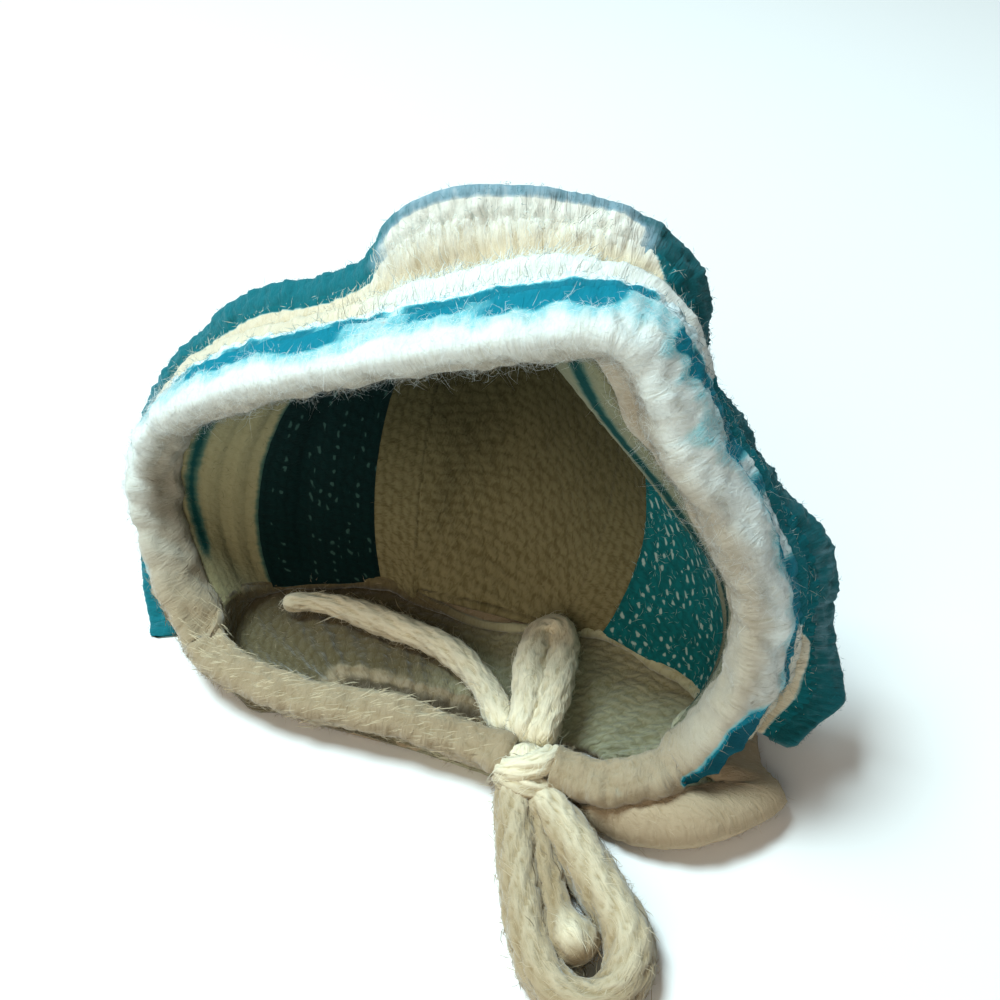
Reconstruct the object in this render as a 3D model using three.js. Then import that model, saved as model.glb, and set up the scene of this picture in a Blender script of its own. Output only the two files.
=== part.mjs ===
// Knitted baby bonnet, resting on a flat surface on its gathered neck band.
// Millimetres, +Z up, the face opening looks along -Y, the tie bow lies in front of it.
// Everything is one knitted wall: a tapering hood, a back panel, a turned-back cuff with
// a ribbed frill, a neck band folded under, and a knitted tie cord knotted in a bow.
import * as THREE from 'three';

// Driving sizes
const WALL = 3.2; // brushed knit, one layer
const BAND_WALL = 2.8; // neck band, pressed flat by the weight on it
const GAP = 0.3; // between pieces that touch
const CUFF_DEPTH = 11; // fabric from the face edge to the end of the turned-in leg
const STRIPE_BACK = [7.8, 12.2]; // thin stripe on the cuff, from the face edge
const VALLEY_BACK = 18.2; // foot of the frill, from the face edge
const BAND_DEPTH = [35, 63]; // broad stripe of the hood, from the face edge
const HOOD_DEPTH = 76; // face edge to the seam of the back panel
const FRILL_EDGE = { width: 6, thick: 5 }; // cast-off edge of the frill
const RUFFLE_SPAN = [-0.99, 0.95]; // where the frill ends on the two sides
const PANEL_BULGE = 17; // how far the back panel swells behind its seam
const CORD = 9.4; // knitted tie cord, diameter
const FACE_TILT = THREE.MathUtils.degToRad(17.2); // face plane leans back
const ORIGIN = new THREE.Vector3(-11.7, -2.7, 0); // middle of the base under hood, frill and neck band

// Arches of the hood, from the face edge to the seam. Each row is one arch across the
// head: y where it meets the table, lean back with height, bow back at the sides, centre
// and half widths, sideways shift of the crown, height of the widest place, rise above
// it, drop below it, squareness of the two shoulders, and angle to the two feet.
const HOOD_SECTIONS = [
  { depth: 0, y: -57, lean: 35, bow: 18.5, cx: 0, left: 99.5, right: 72, apex: 30, cz: 43.5, up: 71.5,
    down: 49.6, squareL: 2.35, squareR: 4.6, spanL: 133, spanR: 122 },
  { depth: 12, y: -44.5, lean: 31, bow: 19, cx: -1, left: 91.3, right: 66.5, apex: 17, cz: 38.4, up: 70.4,
    down: 42.4, squareL: 1.9, squareR: 4.4, spanL: 126, spanR: 118 },
  { depth: 35, y: -23, lean: 29, bow: 17, cx: -1, left: 73, right: 63.5, apex: 1, cz: 25, up: 74,
    down: 46, squareL: 1.21, squareR: 3.8, spanL: 112, spanR: 108 },
  { depth: 49, y: -11.3, lean: 33, bow: 13.6, cx: -4, left: 54, right: 55.5, apex: 0, cz: 28, up: 71,
    down: 49, squareL: 1.04, squareR: 2.7, spanL: 113, spanR: 111 },
  { depth: 63, y: -3.5, lean: 41.5, bow: 8, cx: -11, left: 31.5, right: 47, apex: 2, cz: 38, up: 62,
    down: 54, squareL: 1, squareR: 1.5, spanL: 121, spanR: 119 },
  { depth: 76, y: -1.5, lean: 52.5, bow: 3.4, cx: -18, left: 11.5, right: 42.5, apex: 3, cz: 46.5, up: 54.5,
    down: 64, squareL: 0.98, squareR: 0.98, spanL: 128, spanR: 128 },
];

// Cuff and frill along the face edge, t from the left foot (-1) over the crown to the
// right foot (1). roll is the radius of the fold; the other columns are distances out
// from the fold's centre line at the stripe, in the valley before the frill and at the
// frill's edge, and how far back that edge lies.
const BRIM_STATIONS = [
  { t: -1, roll: 4.2, stripe: 5.5, valley: 6, out: 22, back: 20 },
  { t: -0.84, roll: 4.2, stripe: 6, valley: 7, out: 20, back: 20 },
  { t: -0.66, roll: 4.2, stripe: 6, valley: 7.5, out: 14.5, back: 21 },
  { t: -0.52, roll: 4.2, stripe: 6.2, valley: 8.5, out: 15, back: 24 },
  { t: -0.43, roll: 4.2, stripe: 6.6, valley: 9, out: 19, back: 25 },
  { t: -0.34, roll: 4, stripe: 6.6, valley: 8.5, out: 17.5, back: 27 },
  { t: -0.28, roll: 4, stripe: 6.8, valley: 9.8, out: 24.5, back: 23 },
  { t: -0.2, roll: 4.1, stripe: 7.2, valley: 12.2, out: 30, back: 22 },
  { t: -0.1, roll: 4.3, stripe: 8, valley: 12.4, out: 26, back: 24 },
  { t: -0.02, roll: 4.6, stripe: 7, valley: 9.5, out: 21, back: 26 },
  { t: 0.08, roll: 5, stripe: 6.6, valley: 7, out: 13, back: 29 },
  { t: 0.2, roll: 5.3, stripe: 6.6, valley: 6.4, out: 4.5, back: 31 },
  { t: 0.32, roll: 5.4, stripe: 6.6, valley: 6, out: 2, back: 32 },
  { t: 0.44, roll: 5.2, stripe: 6.2, valley: 6.2, out: 3.5, back: 31 },
  { t: 0.57, roll: 5, stripe: 5.8, valley: 6.2, out: 8, back: 28.5 },
  { t: 0.72, roll: 5, stripe: 6, valley: 6.8, out: 15, back: 26 },
  { t: 0.86, roll: 4.9, stripe: 6.2, valley: 7.4, out: 22, back: 23 },
  { t: 1, roll: 4.7, stripe: 6.2, valley: 8, out: 26, back: 19 },
];

// The rolled hem that carries the cuff on from each foot to the knot, by its centre.
const HEM_LEFT = [
  { x: 16.2, y: -48, z: 9.4 }, { x: 4, y: -46.4, z: 9.2 }, { x: -14, y: -46.4, z: 9.4 },
  { x: -36, y: -48.2, z: 9.4 }, { x: -55, y: -47, z: 9.3 }, { x: -69, y: -42, z: 9.8 },
];
const HEM_RIGHT = [
  { x: 57, y: -45.4, z: 15.4 }, { x: 51, y: -49.2, z: 13.4 }, { x: 43, y: -50.4, z: 11.8 },
  { x: 34.6, y: -47.4, z: 11 },
];

// Neck band, folded under and drawn together by the tie. Each row is one cross-section:
// the widest place beside or in front of the hood, its height, and the inner edge at the
// slit that is left of the neck opening. foot gives the hood's depth on side -1 or 1;
// the rows at the front start from a place of their own under the rolled hem.
const NECK_STATIONS = [
  { sx: 16, sy: -46.4, sz: 2.2, wx: 16, wy: -47.4, wz: 1.4, ix: 16.5, iy: -40.5 },
  { sx: 2, sy: -45.6, sz: 2.2, wx: 2, wy: -46.6, wz: 1.4, ix: 2, iy: -39.2 },
  { sx: -20, sy: -45.6, sz: 1.9, wx: -20, wy: -46.8, wz: 1.4, ix: -16, iy: -38.6 },
  { sx: -42, sy: -46, sz: 2, wx: -42, wy: -47.2, wz: 1.4, ix: -27, iy: -38.4 },
  { sx: -59, sy: -43, sz: 1.8, wx: -61, wy: -44, wz: 1.4, ix: -32, iy: -37.6 },
  { side: -1, foot: 12, wx: -72, wy: -24, wz: 3, ix: -34, iy: -36.6 },
  { side: -1, foot: 35, wx: -70, wy: -3, wz: 3.4, ix: -31, iy: -35.2 },
  { side: -1, foot: 49, wx: -57, wy: 4, wz: 3.4, ix: -24, iy: -34 },
  { side: -1, foot: 63, wx: -40, wy: 9, wz: 3.2, ix: -14, iy: -33 },
  { side: -1, foot: 76, wx: -28, wy: 9, wz: 3, ix: -7, iy: -32.6 },
  { sx: -6, sy: -1.5, sz: 4.6, wx: -6, wy: 8.5, wz: 2.8, ix: 3, iy: -32.4 },
  { side: 1, foot: 76, wx: 18, wy: 9, wz: 3, ix: 13, iy: -32.2 },
  { side: 1, foot: 63, wx: 34, wy: 9, wz: 3.2, ix: 23, iy: -31.8 },
  { side: 1, foot: 49, wx: 52, wy: 4, wz: 3.6, ix: 33, iy: -31.6 },
  { side: 1, foot: 35, wx: 70, wy: -5, wz: 3.4, ix: 39, iy: -32.6 },
  { side: 1, foot: 12, wx: 77, wy: -22, wz: 2.8, ix: 42, iy: -34.6 },
  { sx: 69.6, sy: -37, sz: 7, wx: 84, wy: -36, wz: 6.4, ix: 42.5, iy: -36.6 },
  { sx: 60, sy: -46, sz: 7.6, wx: 72.5, wy: -50.5, wz: 8, ix: 42, iy: -38.6 },
  { sx: 52, sy: -49.6, sz: 5.6, wx: 58, wy: -56, wz: 6, ix: 40, iy: -39.8 },
  { sx: 44, sy: -50.6, sz: 4, wx: 46, wy: -54.2, wz: 3, ix: 38, iy: -40.8 },
  { sx: 37.4, sy: -49, sz: 3, wx: 38.4, wy: -51, wz: 1.8, ix: 36.5, iy: -41.4 },
];

// Routes of the tie cord, laid on the neck band and on the table.
const TIE_LEFT = [
  [-61, -15.7, 7.6], [-53.2, -12.2, 7.4], [-43.2, -11.2, 7.4], [-32.2, -12.5, 7.4], [-21.6, -14.1, 7.8],
  [-11.6, -16.5, 8.4], [-2.6, -20.8, 8.8], [4.8, -26.6, 9.2], [10.2, -32.4, 9.6], [13.8, -37.2, 9.8],
  [16.4, -41.6, 9.8],
];
const LOOP_FRONT = [
  [23.2, -57, 5.4], [24.2, -61.2, 5.2], [26.6, -66.2, 5], [29.8, -72.5, 5], [33.4, -79.1, 5],
  [36.9, -85.2, 5], [40.5, -90.9, 5], [44.9, -96.2, 5], [50, -99.8, 5], [55.6, -100, 5],
  [60, -96.8, 5], [62.2, -91.1, 5], [61.9, -84.9, 5], [59.2, -78.2, 5], [55, -71.8, 5],
  [49.4, -66, 5], [43.8, -62.4, 5.3], [38.6, -59.6, 5.6], [34, -57.2, 6],
];
const TIE_END = [
  [34.6, -65.4, 4.2], [36.6, -68.4, 4], [39.4, -71.6, 4], [42.2, -76.4, 4], [44.8, -81, 4],
  [47.4, -85.4, 4], [50, -89.6, 4.2],
];

const COLOURS = {
  white: { color: 0xd9d6c6, roughness: 0.95, metalness: 0 },
  lining: { color: 0xc9c4ae, roughness: 0.95, metalness: 0 },
  teal: { color: 0x16788f, roughness: 0.93, metalness: 0 },
  cord: { color: 0xd6cfb6, roughness: 0.92, metalness: 0 },
};

const V = (x, y, z) => new THREE.Vector3(x, y, z);
const mix = (a, b, f) => a + (b - a) * f;
const smooth = (x) => { const f = Math.min(Math.max(x, 0), 1); return f * f * (3 - 2 * f); };

/** Every numeric column of a table at x, by a cubic through its rows. */
function readTable(rows, key, x) {
  const at = Math.min(Math.max(x, rows[0][key]), rows[rows.length - 1][key]);
  let i = 0;
  while (i < rows.length - 2 && rows[i + 1][key] <= at) i += 1;
  const h = rows[i + 1][key] - rows[i][key];
  const f = (at - rows[i][key]) / h;
  const slope = (j, column) => {
    const lo = rows[Math.max(j - 1, 0)];
    const hi = rows[Math.min(j + 1, rows.length - 1)];
    return (hi[column] - lo[column]) / (hi[key] - lo[key]);
  };
  const out = {};
  for (const column of Object.keys(rows[0])) {
    const [a, b] = [rows[i][column], rows[i + 1][column]];
    const [ma, mb] = [slope(i, column) * h, slope(i + 1, column) * h];
    out[column] = a * (2 * f ** 3 - 3 * f ** 2 + 1) + ma * (f ** 3 - 2 * f ** 2 + f)
      + b * (3 * f ** 2 - 2 * f ** 3) + mb * (f ** 3 - f ** 2);
  }
  return out;
}

/** Inner face of the hood: depth back from the face edge, t from foot to foot. */
function hoodPoint(depth, t) {
  const row = readTable(HOOD_SECTIONS, 'depth', depth);
  const left = t < 0;
  const angle = THREE.MathUtils.degToRad((left ? row.spanL : row.spanR) * t);
  const [u, v] = [Math.sin(angle), Math.cos(angle)];
  const power = v > 0 ? (left ? row.squareL : row.squareR) : 0.95;
  const side = 0.45 * u + 0.55 * Math.sign(u) * Math.abs(u) ** power;
  const x = row.cx + (left ? row.left : row.right) * side + row.apex * Math.max(v, 0) ** 1.6;
  const z = row.cz + (v > 0 ? row.up : row.down) * v;
  const y = row.y + (row.lean * z) / 110 + row.bow * (x / 80) ** 2;
  return V(x, y, z);
}

/** Outward normal of the hood's wall. */
function hoodNormal(depth, t) {
  const along = hoodPoint(depth, t + 0.02).sub(hoodPoint(depth, t - 0.02));
  const deeper = hoodPoint(Math.min(depth + 2, HOOD_DEPTH), t).sub(hoodPoint(Math.max(depth - 2, 0), t));
  return along.cross(deeper).normalize();
}

/** Middle of the hood's wall. */
const hoodMiddle = (depth, t) => hoodPoint(depth, t).addScaledVector(hoodNormal(depth, t), WALL / 2);

const BACK = V(0, Math.cos(FACE_TILT), -Math.sin(FACE_TILT)); // from the face into the hood

/** Point on a smooth curve through control points, f from 0 to 1. */
function through(points, f) {
  const at = Math.min(Math.max(f, 0), 1);
  return new THREE.CatmullRomCurve3(points, false, 'centripetal').getPoint(at);
}

/** A sheet of even thickness around a middle surface, closed round its four edges. */
function sheet(middle, [nu, nv], wall, floor = null) {
  const faces = [[], []];
  const step = 2e-3;
  for (let i = 0; i <= nu; i += 1) {
    for (let j = 0; j <= nv; j += 1) {
      const [u, v] = [i / nu, j / nv];
      const du = middle(u + step, v).sub(middle(u - step, v));
      const dv = middle(u, v + step).sub(middle(u, v - step));
      const n = du.cross(dv).normalize();
      faces[0].push(middle(u, v).addScaledVector(n, wall / 2));
      faces[1].push(middle(u, v).addScaledVector(n, -wall / 2));
    }
  }
  if (floor !== null) {
    for (const p of faces[0]) p.z = Math.max(p.z, floor.outer);
    for (const p of faces[1]) p.z = Math.max(p.z, floor.inner);
  }
  const points = [...faces[0], ...faces[1]];
  const count = (nu + 1) * (nv + 1);
  const at = (i, j, layer) => layer * count + i * (nv + 1) + j;
  const index = [];
  const quad = (a, b, c, d) => index.push(a, b, c, a, c, d);
  for (let i = 0; i < nu; i += 1) {
    for (let j = 0; j < nv; j += 1) {
      quad(at(i, j, 0), at(i + 1, j, 0), at(i + 1, j + 1, 0), at(i, j + 1, 0));
      quad(at(i, j, 1), at(i, j + 1, 1), at(i + 1, j + 1, 1), at(i + 1, j, 1));
    }
    quad(at(i, 0, 0), at(i, 0, 1), at(i + 1, 0, 1), at(i + 1, 0, 0));
    quad(at(i, nv, 0), at(i + 1, nv, 0), at(i + 1, nv, 1), at(i, nv, 1));
  }
  for (let j = 0; j < nv; j += 1) {
    quad(at(0, j, 0), at(0, j + 1, 0), at(0, j + 1, 1), at(0, j, 1));
    quad(at(nu, j, 0), at(nu, j, 1), at(nu, j + 1, 1), at(nu, j + 1, 0));
  }
  return solid(points, index);
}

/** BufferGeometry of one closed body from points and triangles. */
function solid(points, index) {
  const geometry = new THREE.BufferGeometry();
  const flat = points.flatMap((p) => [p.x - ORIGIN.x, p.y - ORIGIN.y, p.z]);
  geometry.setAttribute('position', new THREE.Float32BufferAttribute(flat, 3));
  geometry.setIndex(index);
  geometry.computeVertexNormals();
  return geometry;
}

/** A ring of sections round a centre line, each a closed loop, capped at both ends. */
function loft(rings) {
  const size = rings[0].length;
  const points = rings.flat();
  const index = [];
  for (let i = 0; i < rings.length - 1; i += 1) {
    for (let j = 0; j < size; j += 1) {
      const k = (j + 1) % size;
      const [a, b, c, d] = [i * size + j, i * size + k, (i + 1) * size + k, (i + 1) * size + j];
      index.push(a, c, b, a, d, c);
    }
  }
  for (const [ring, flip] of [[0, false], [rings.length - 1, true]]) {
    const centre = rings[ring].reduce((sum, p) => sum.add(p), V(0, 0, 0)).divideScalar(size);
    points.push(centre);
    for (let j = 0; j < size; j += 1) {
      const [a, b] = [ring * size + j, ring * size + ((j + 1) % size)];
      index.push(...(flip ? [points.length - 1, b, a] : [points.length - 1, a, b]));
    }
  }
  return solid(points, index);
}

/** Centre and directions of the brim at q: -2..-1 left hem, -1..1 face edge, 1..2 right hem. */
function brimFrame(q) {
  const centre = (s) => {
    if (s < -1) return through([...HEM_LEFT.map((p) => V(p.x, p.y, p.z)), hoodPoint(0, -1)], s + 2);
    if (s > 1) return through([hoodPoint(0, 1), ...HEM_RIGHT.map((p) => V(p.x, p.y, p.z))], s - 1);
    return hoodPoint(0, s);
  };
  const tangent = centre(Math.min(q + 0.04, 2)).sub(centre(Math.max(q - 0.04, -2))).normalize();
  const out = tangent.clone().cross(BACK).normalize();
  return { centre: centre(q), out };
}

/** Control points of the cuff, stripe and frill across the brim at q. */
function brimProfile(q) {
  const { centre, out } = brimFrame(q);
  const t = Math.min(Math.max(q, -1), 1);
  const row = readTable(BRIM_STATIONS, 't', t);
  const hem = smooth((Math.abs(q) - 1) * 3);
  const roll = mix(row.roll, 3.7, hem);
  const level = out.clone().setZ(Math.max(out.z, -0.12)).normalize();
  const place = (back, away, flat = 0) => centre.clone().addScaledVector(BACK, back)
    .addScaledVector(out.clone().lerp(level, flat).normalize(), away);
  const joined = hoodMiddle(CUFF_DEPTH, t);
  const legEnd = joined.lerp(place(3.8, -roll), hem);
  const rise = Math.hypot(row.out - row.valley, row.back - VALLEY_BACK);
  const white = 1 - FRILL_EDGE.width / Math.max(rise, 14); // share of the frill before its edge
  const frill = [0.35, 0.7, 1].map((f) => f * white).concat(1).map((f) => place(
    mix(VALLEY_BACK, row.back, f ** 1.25), mix(row.valley - 0.6, row.out, f ** 0.92), 1,
  ));
  return [
    legEnd,
    place(mix(3, 0.6, hem), -roll),
    place(-roll, 0),
    place(0.5, roll),
    place(mix(STRIPE_BACK[0], 4.5, hem), mix(row.stripe, roll + 0.2, hem), 0.3),
    place(STRIPE_BACK[1], mix(row.stripe, row.valley, 0.35) + 0.6, 0.6),
    place(15.5, row.valley + 1.4, 1),
    place(VALLEY_BACK, row.valley - 0.6, 1),
    ...frill,
  ];
}

/** Part of the brim from one control point to another, as a sheet. */
function brimSheet([q0, q1], [from, to], [nu, nv], wall) {
  const middle = (u, v) => {
    const points = brimProfile(mix(q0, q1, u));
    return through(points, mix(from, to, v) / (points.length - 1));
  };
  return sheet(middle, [nu, nv], wall, { outer: GAP, inner: GAP });
}

/** Part of the hood between two depths. */
function hoodSheet([d0, d1], [nu, nv]) {
  return sheet((u, v) => hoodMiddle(mix(d0, d1, v), mix(-1, 1, u)), [nu, nv], WALL);
}

/** Seam of the back panel at s, with the way the hood's wall leads into it. */
function seamAt(s) {
  const arch = 0.84; // share of the seam that follows the hood, the rest closes it below
  const leadAt = (t) => hoodMiddle(HOOD_DEPTH, t).sub(hoodMiddle(HOOD_DEPTH - 3, t)).normalize();
  if (s <= arch) {
    const t = mix(-1, 1, s / arch);
    return { point: hoodMiddle(HOOD_DEPTH, t), lead: leadAt(t) };
  }
  const f = (s - arch) / (1 - arch);
  return {
    point: hoodMiddle(HOOD_DEPTH, 1).lerp(hoodMiddle(HOOD_DEPTH, -1), f),
    lead: leadAt(1).lerp(leadAt(-1), smooth(f)).normalize(),
  };
}

/** Back panel: rings from the seam to the middle of the swollen back. */
function backPanel(around, rings) {
  const seam = Array.from({ length: around }, (_, j) => seamAt(j / around).point);
  const centre = seam.reduce((sum, p) => sum.add(p), V(0, 0, 0)).divideScalar(around);
  const axis = V(0, 0.97, -0.24);
  const top = centre.clone().addScaledVector(axis, PANEL_BULGE);
  const middle = (s, f) => {
    const { point, lead } = seamAt(((s % 1) + 1) % 1);
    const start = point.clone().addScaledVector(lead, GAP);
    const shoulder = point.clone().lerp(centre, 0.55).addScaledVector(axis, PANEL_BULGE);
    return new THREE.CubicBezierCurve3(start, start.clone().addScaledVector(lead, 6), shoulder, top).getPoint(f);
  };
  const layer = (side) => {
    const points = [];
    for (let r = 0; r < rings; r += 1) {
      for (let j = 0; j < around; j += 1) {
        const [s, f] = [j / around, r / rings];
        const along = middle(s + 2e-3, f).sub(middle(s - 2e-3, f));
        const inward = middle(s, f + 1e-2).sub(middle(s, Math.max(f - 1e-2, 0)));
        const n = along.cross(inward).normalize();
        points.push(middle(s, f).addScaledVector(n, (side * WALL) / 2));
      }
    }
    points.push(top.clone().addScaledVector(axis, (side * WALL) / 2));
    return points;
  };
  const [outer, inner] = [layer(1), layer(-1)];
  const shift = outer.length;
  const hub = shift - 1;
  const last = (rings - 1) * around;
  const index = [];
  for (let j = 0; j < around; j += 1) {
    const k = (j + 1) % around;
    for (let r = 0; r < rings - 1; r += 1) {
      const [a, b, c, d] = [r * around + j, r * around + k, (r + 1) * around + k, (r + 1) * around + j];
      index.push(a, b, c, a, c, d, shift + a, shift + c, shift + b, shift + a, shift + d, shift + c);
    }
    index.push(last + j, last + k, hub, shift + last + j, shift + hub, shift + last + k);
    index.push(j, shift + k, k, j, shift + j, shift + k);
  }
  return solid([...outer, ...inner], index);
}

/** Neck band: each station runs from its seam out, down to the table and in to the slit. */
function neckBand(around, across) {
  const rows = NECK_STATIONS.map((row, i) => {
    let start = V(row.sx, row.sy, row.sz);
    const down = V(row.wx - row.sx, row.wy - row.sy, row.wz - row.sz).normalize();
    if (row.side) {
      start = hoodMiddle(row.foot, row.side);
      const above = hoodMiddle(row.foot, row.side * 0.96);
      down.copy(start).sub(above).normalize();
      start.addScaledVector(down, GAP + 0.4);
    }
    const next = start.clone().addScaledVector(down, 2.2);
    return { i, sx: start.x, sy: start.y, sz: start.z, nx: next.x, ny: next.y, nz: next.z,
      wx: row.wx, wy: row.wy, wz: row.wz, ix: row.ix, iy: row.iy };
  });
  const low = BAND_WALL / 2;
  const middle = (u, v) => {
    const row = readTable(rows, 'i', u * (rows.length - 1));
    const start = V(row.sx, row.sy, row.sz);
    const next = V(row.nx, row.ny, row.nz);
    const wide = V(row.wx, row.wy, Math.max(row.wz, low));
    const inner = V(row.ix, row.iy, low);
    const turn = wide.clone().lerp(inner, 0.14).setZ(low);
    return through([start, next, wide, turn, wide.clone().lerp(inner, 0.55).setZ(low), inner], v);
  };
  return sheet(middle, [around, across], BAND_WALL, { outer: 0, inner: 0 });
}

/** A cord along a route, with rounded ends. */
function cord(route, diameter, steps, sides = 10) {
  const curve = new THREE.CatmullRomCurve3(route.map((p) => V(p[0] - ORIGIN.x, p[1] - ORIGIN.y, p[2])));
  const section = new THREE.Shape();
  for (let i = 0; i < sides; i += 1) {
    const a = (i / sides) * Math.PI * 2;
    const [x, y] = [(diameter / 2) * Math.cos(a), (diameter / 2) * Math.sin(a)];
    if (i === 0) section.moveTo(x, y); else section.lineTo(x, y);
  }
  section.closePath();
  return new THREE.ExtrudeGeometry(section, { steps, bevelEnabled: false, extrudePath: curve });
}

/** Swept oval sections given by rows of centre and half sizes, along their own line. */
function oval(rows, sides = 12) {
  const centres = rows.map((r) => V(...r.at));
  return loft(rows.map((r, i) => {
    const ahead = centres[Math.min(i + 1, rows.length - 1)].clone().sub(centres[Math.max(i - 1, 0)]).normalize();
    const side = ahead.clone().cross(V(0, 0, 1)).normalize();
    const up = side.clone().cross(ahead).normalize();
    return Array.from({ length: sides }, (_, k) => {
      const a = (k / sides) * Math.PI * 2;
      return centres[i].clone().addScaledVector(side, r.wide * Math.cos(a)).addScaledVector(up, r.high * Math.sin(a));
    });
  }));
}

const bonnet = new THREE.Group();
function add(name, geometry, colour) {
  const mesh = new THREE.Mesh(geometry, new THREE.MeshStandardMaterial(COLOURS[colour]));
  mesh.name = name;
  bonnet.add(mesh);
}

const cut = 0.05; // share of one control step that leaves the gap
add('hood_front', hoodSheet([CUFF_DEPTH + 1.1, BAND_DEPTH[0] - GAP / 2], [44, 3]), 'white');
add('hood_band', hoodSheet([BAND_DEPTH[0] + GAP / 2, BAND_DEPTH[1] - GAP / 2], [44, 4]), 'teal');
add('hood_rear', hoodSheet([BAND_DEPTH[1] + GAP / 2, HOOD_DEPTH], [44, 2]), 'lining');
add('back_panel', backPanel(36, 5), 'lining');
add('face_cuff', brimSheet([-2, 2], [0.2, 4 - cut], [64, 8], WALL), 'white');
add('cuff_stripe', brimSheet(RUFFLE_SPAN, [4 + cut, 5 - cut], [56, 1], WALL), 'teal');
add('brim_ruffle', brimSheet(RUFFLE_SPAN, [5 + cut, 10 - cut], [56, 6], WALL), 'white');
add('ruffle_edge', brimSheet(RUFFLE_SPAN, [10 + cut, 11], [56, 2], FRILL_EDGE.thick), 'teal');
add('neck_band', neckBand(56, 8), 'white');
add('bow_knot', oval([
  { at: [23, -42.6, 10.4], wide: 2.6, high: 2.4 }, { at: [23.4, -44, 10.2], wide: 5, high: 5 },
  { at: [24.4, -47.6, 9.4], wide: 7.2, high: 6.6 }, { at: [25.8, -51.4, 8.4], wide: 7.4, high: 6.4 },
  { at: [27, -54, 7.4], wide: 5.6, high: 5 }, { at: [27.4, -55, 7], wide: 3, high: 3 },
]), 'cord');
add('bow_loop_back', oval([
  { at: [23, -41, 11.6], wide: 3.6, high: 3.2 }, { at: [23.6, -38, 13], wide: 4.8, high: 4 },
  { at: [22.6, -31.5, 14], wide: 7, high: 4.6 }, { at: [20.2, -24.5, 13.8], wide: 8.4, high: 4.9 },
  { at: [18.6, -17, 13.6], wide: 8.6, high: 4.9 }, { at: [17.6, -10, 13], wide: 7.4, high: 4.6 },
  { at: [17.2, -5.4, 12.6], wide: 5.2, high: 3.8 }, { at: [17.1, -3.4, 12.4], wide: 2.6, high: 2 },
]), 'cord');
add('tie_left', cord(TIE_LEFT, CORD * 0.8, 16), 'cord');
add('bow_loop_front', cord(LOOP_FRONT, CORD * 0.93, 32), 'cord');
add('tie_end', cord(TIE_END, CORD * 0.68, 8), 'cord');

export default bonnet;
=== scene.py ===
"""Knitted baby bonnet in brushed cream wool with teal stripes, laid down on its neck band.

Every piece of knitting is a closed shell around the middle surface of its wall. The surfaces
are worked out in millimetres from the driving sizes below, the stitches are raised on both
faces of the shell, and loose fibres stand on top of them.
"""

import logging
import math
from dataclasses import dataclass, field
from enum import Enum
from typing import Callable

import bmesh
import bpy
import numpy as np
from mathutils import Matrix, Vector


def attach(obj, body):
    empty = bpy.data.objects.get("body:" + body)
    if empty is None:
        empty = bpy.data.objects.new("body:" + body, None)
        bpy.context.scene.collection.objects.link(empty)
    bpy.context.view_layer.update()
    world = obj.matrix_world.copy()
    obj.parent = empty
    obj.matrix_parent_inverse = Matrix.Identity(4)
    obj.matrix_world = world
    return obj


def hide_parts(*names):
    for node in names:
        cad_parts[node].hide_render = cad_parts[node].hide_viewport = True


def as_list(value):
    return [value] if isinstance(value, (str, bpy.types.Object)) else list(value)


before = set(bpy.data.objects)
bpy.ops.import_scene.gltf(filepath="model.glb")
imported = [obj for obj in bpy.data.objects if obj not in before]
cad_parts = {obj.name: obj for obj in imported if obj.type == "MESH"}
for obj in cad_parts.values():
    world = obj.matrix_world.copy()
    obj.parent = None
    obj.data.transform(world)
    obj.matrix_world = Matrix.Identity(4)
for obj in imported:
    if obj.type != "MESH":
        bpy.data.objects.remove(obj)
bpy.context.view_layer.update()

log = logging.getLogger("bonnet")
Array = np.ndarray
Object = bpy.types.Object
Socket = bpy.types.NodeSocket
Colour = tuple[float, float, float]
Point = tuple[float, float, float]
Route = tuple[Point, ...]
Middle = Callable[[Array, Array], Array]
Spread = Callable[[Array, Array, Array], Array]

# Driving sizes, in millimetres
WALL = 3.2  # brushed knit, one layer
BAND_WALL = 2.8  # neck band, pressed flat by the weight on it
GAP = 0.3  # between pieces that touch
CUFF_DEPTH = 11.0  # fabric from the face edge to the end of the turned-in leg
STRIPE_BACK = (7.8, 12.2)  # thin stripe on the cuff, from the face edge
VALLEY_BACK = 18.2  # foot of the frill, from the face edge
BAND_DEPTH = (35.0, 63.0)  # broad stripe of the hood, from the face edge
HOOD_DEPTH = 76.0  # face edge to the seam of the back panel
EDGE_WIDTH, EDGE_THICK = 6.0, 5.0  # cast-off edge of the frill
CUFF_SPAN = (-2, 2)  # ends of the two hems, the face edge runs from -1 to 1
RUFFLE_SPAN = (-1.03, 0.95)  # where the frill ends on the two sides
CROWN = (-0.27, 0.0)  # where the frill stands up and its edge is brushed cream
PANEL_BULGE = 17.0  # how far the back panel swells behind its seam
CORD = 9.4  # knitted tie cord, diameter
FACE_TILT = math.radians(17.2)  # face plane leans back
ORIGIN = np.array([-11.7, -2.7, 0.0])  # middle of the base under hood, frill and neck band
STITCH_WIDE, STITCH_HIGH = 4.4, 3.2  # one stitch of the hood
METRES = 0.001  # one millimetre
ACROSS_BRIM = 11  # steps from one control point to the next across the brim
ALONG_NECK = 20  # steps from one cross-section to the next along the neck band
MIX_A, MIX_B, MIX_OUT = 6, 7, 2  # colour sockets of a mix node

BACK = np.array([0.0, math.cos(FACE_TILT), -math.sin(FACE_TILT)])  # from the face into the hood
UP = np.array([0.0, 0.0, 1.0])


class Stitch(Enum):
    """Which face of the knitting a surface shows."""

    KNIT = "knit"
    PURL = "purl"


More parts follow.
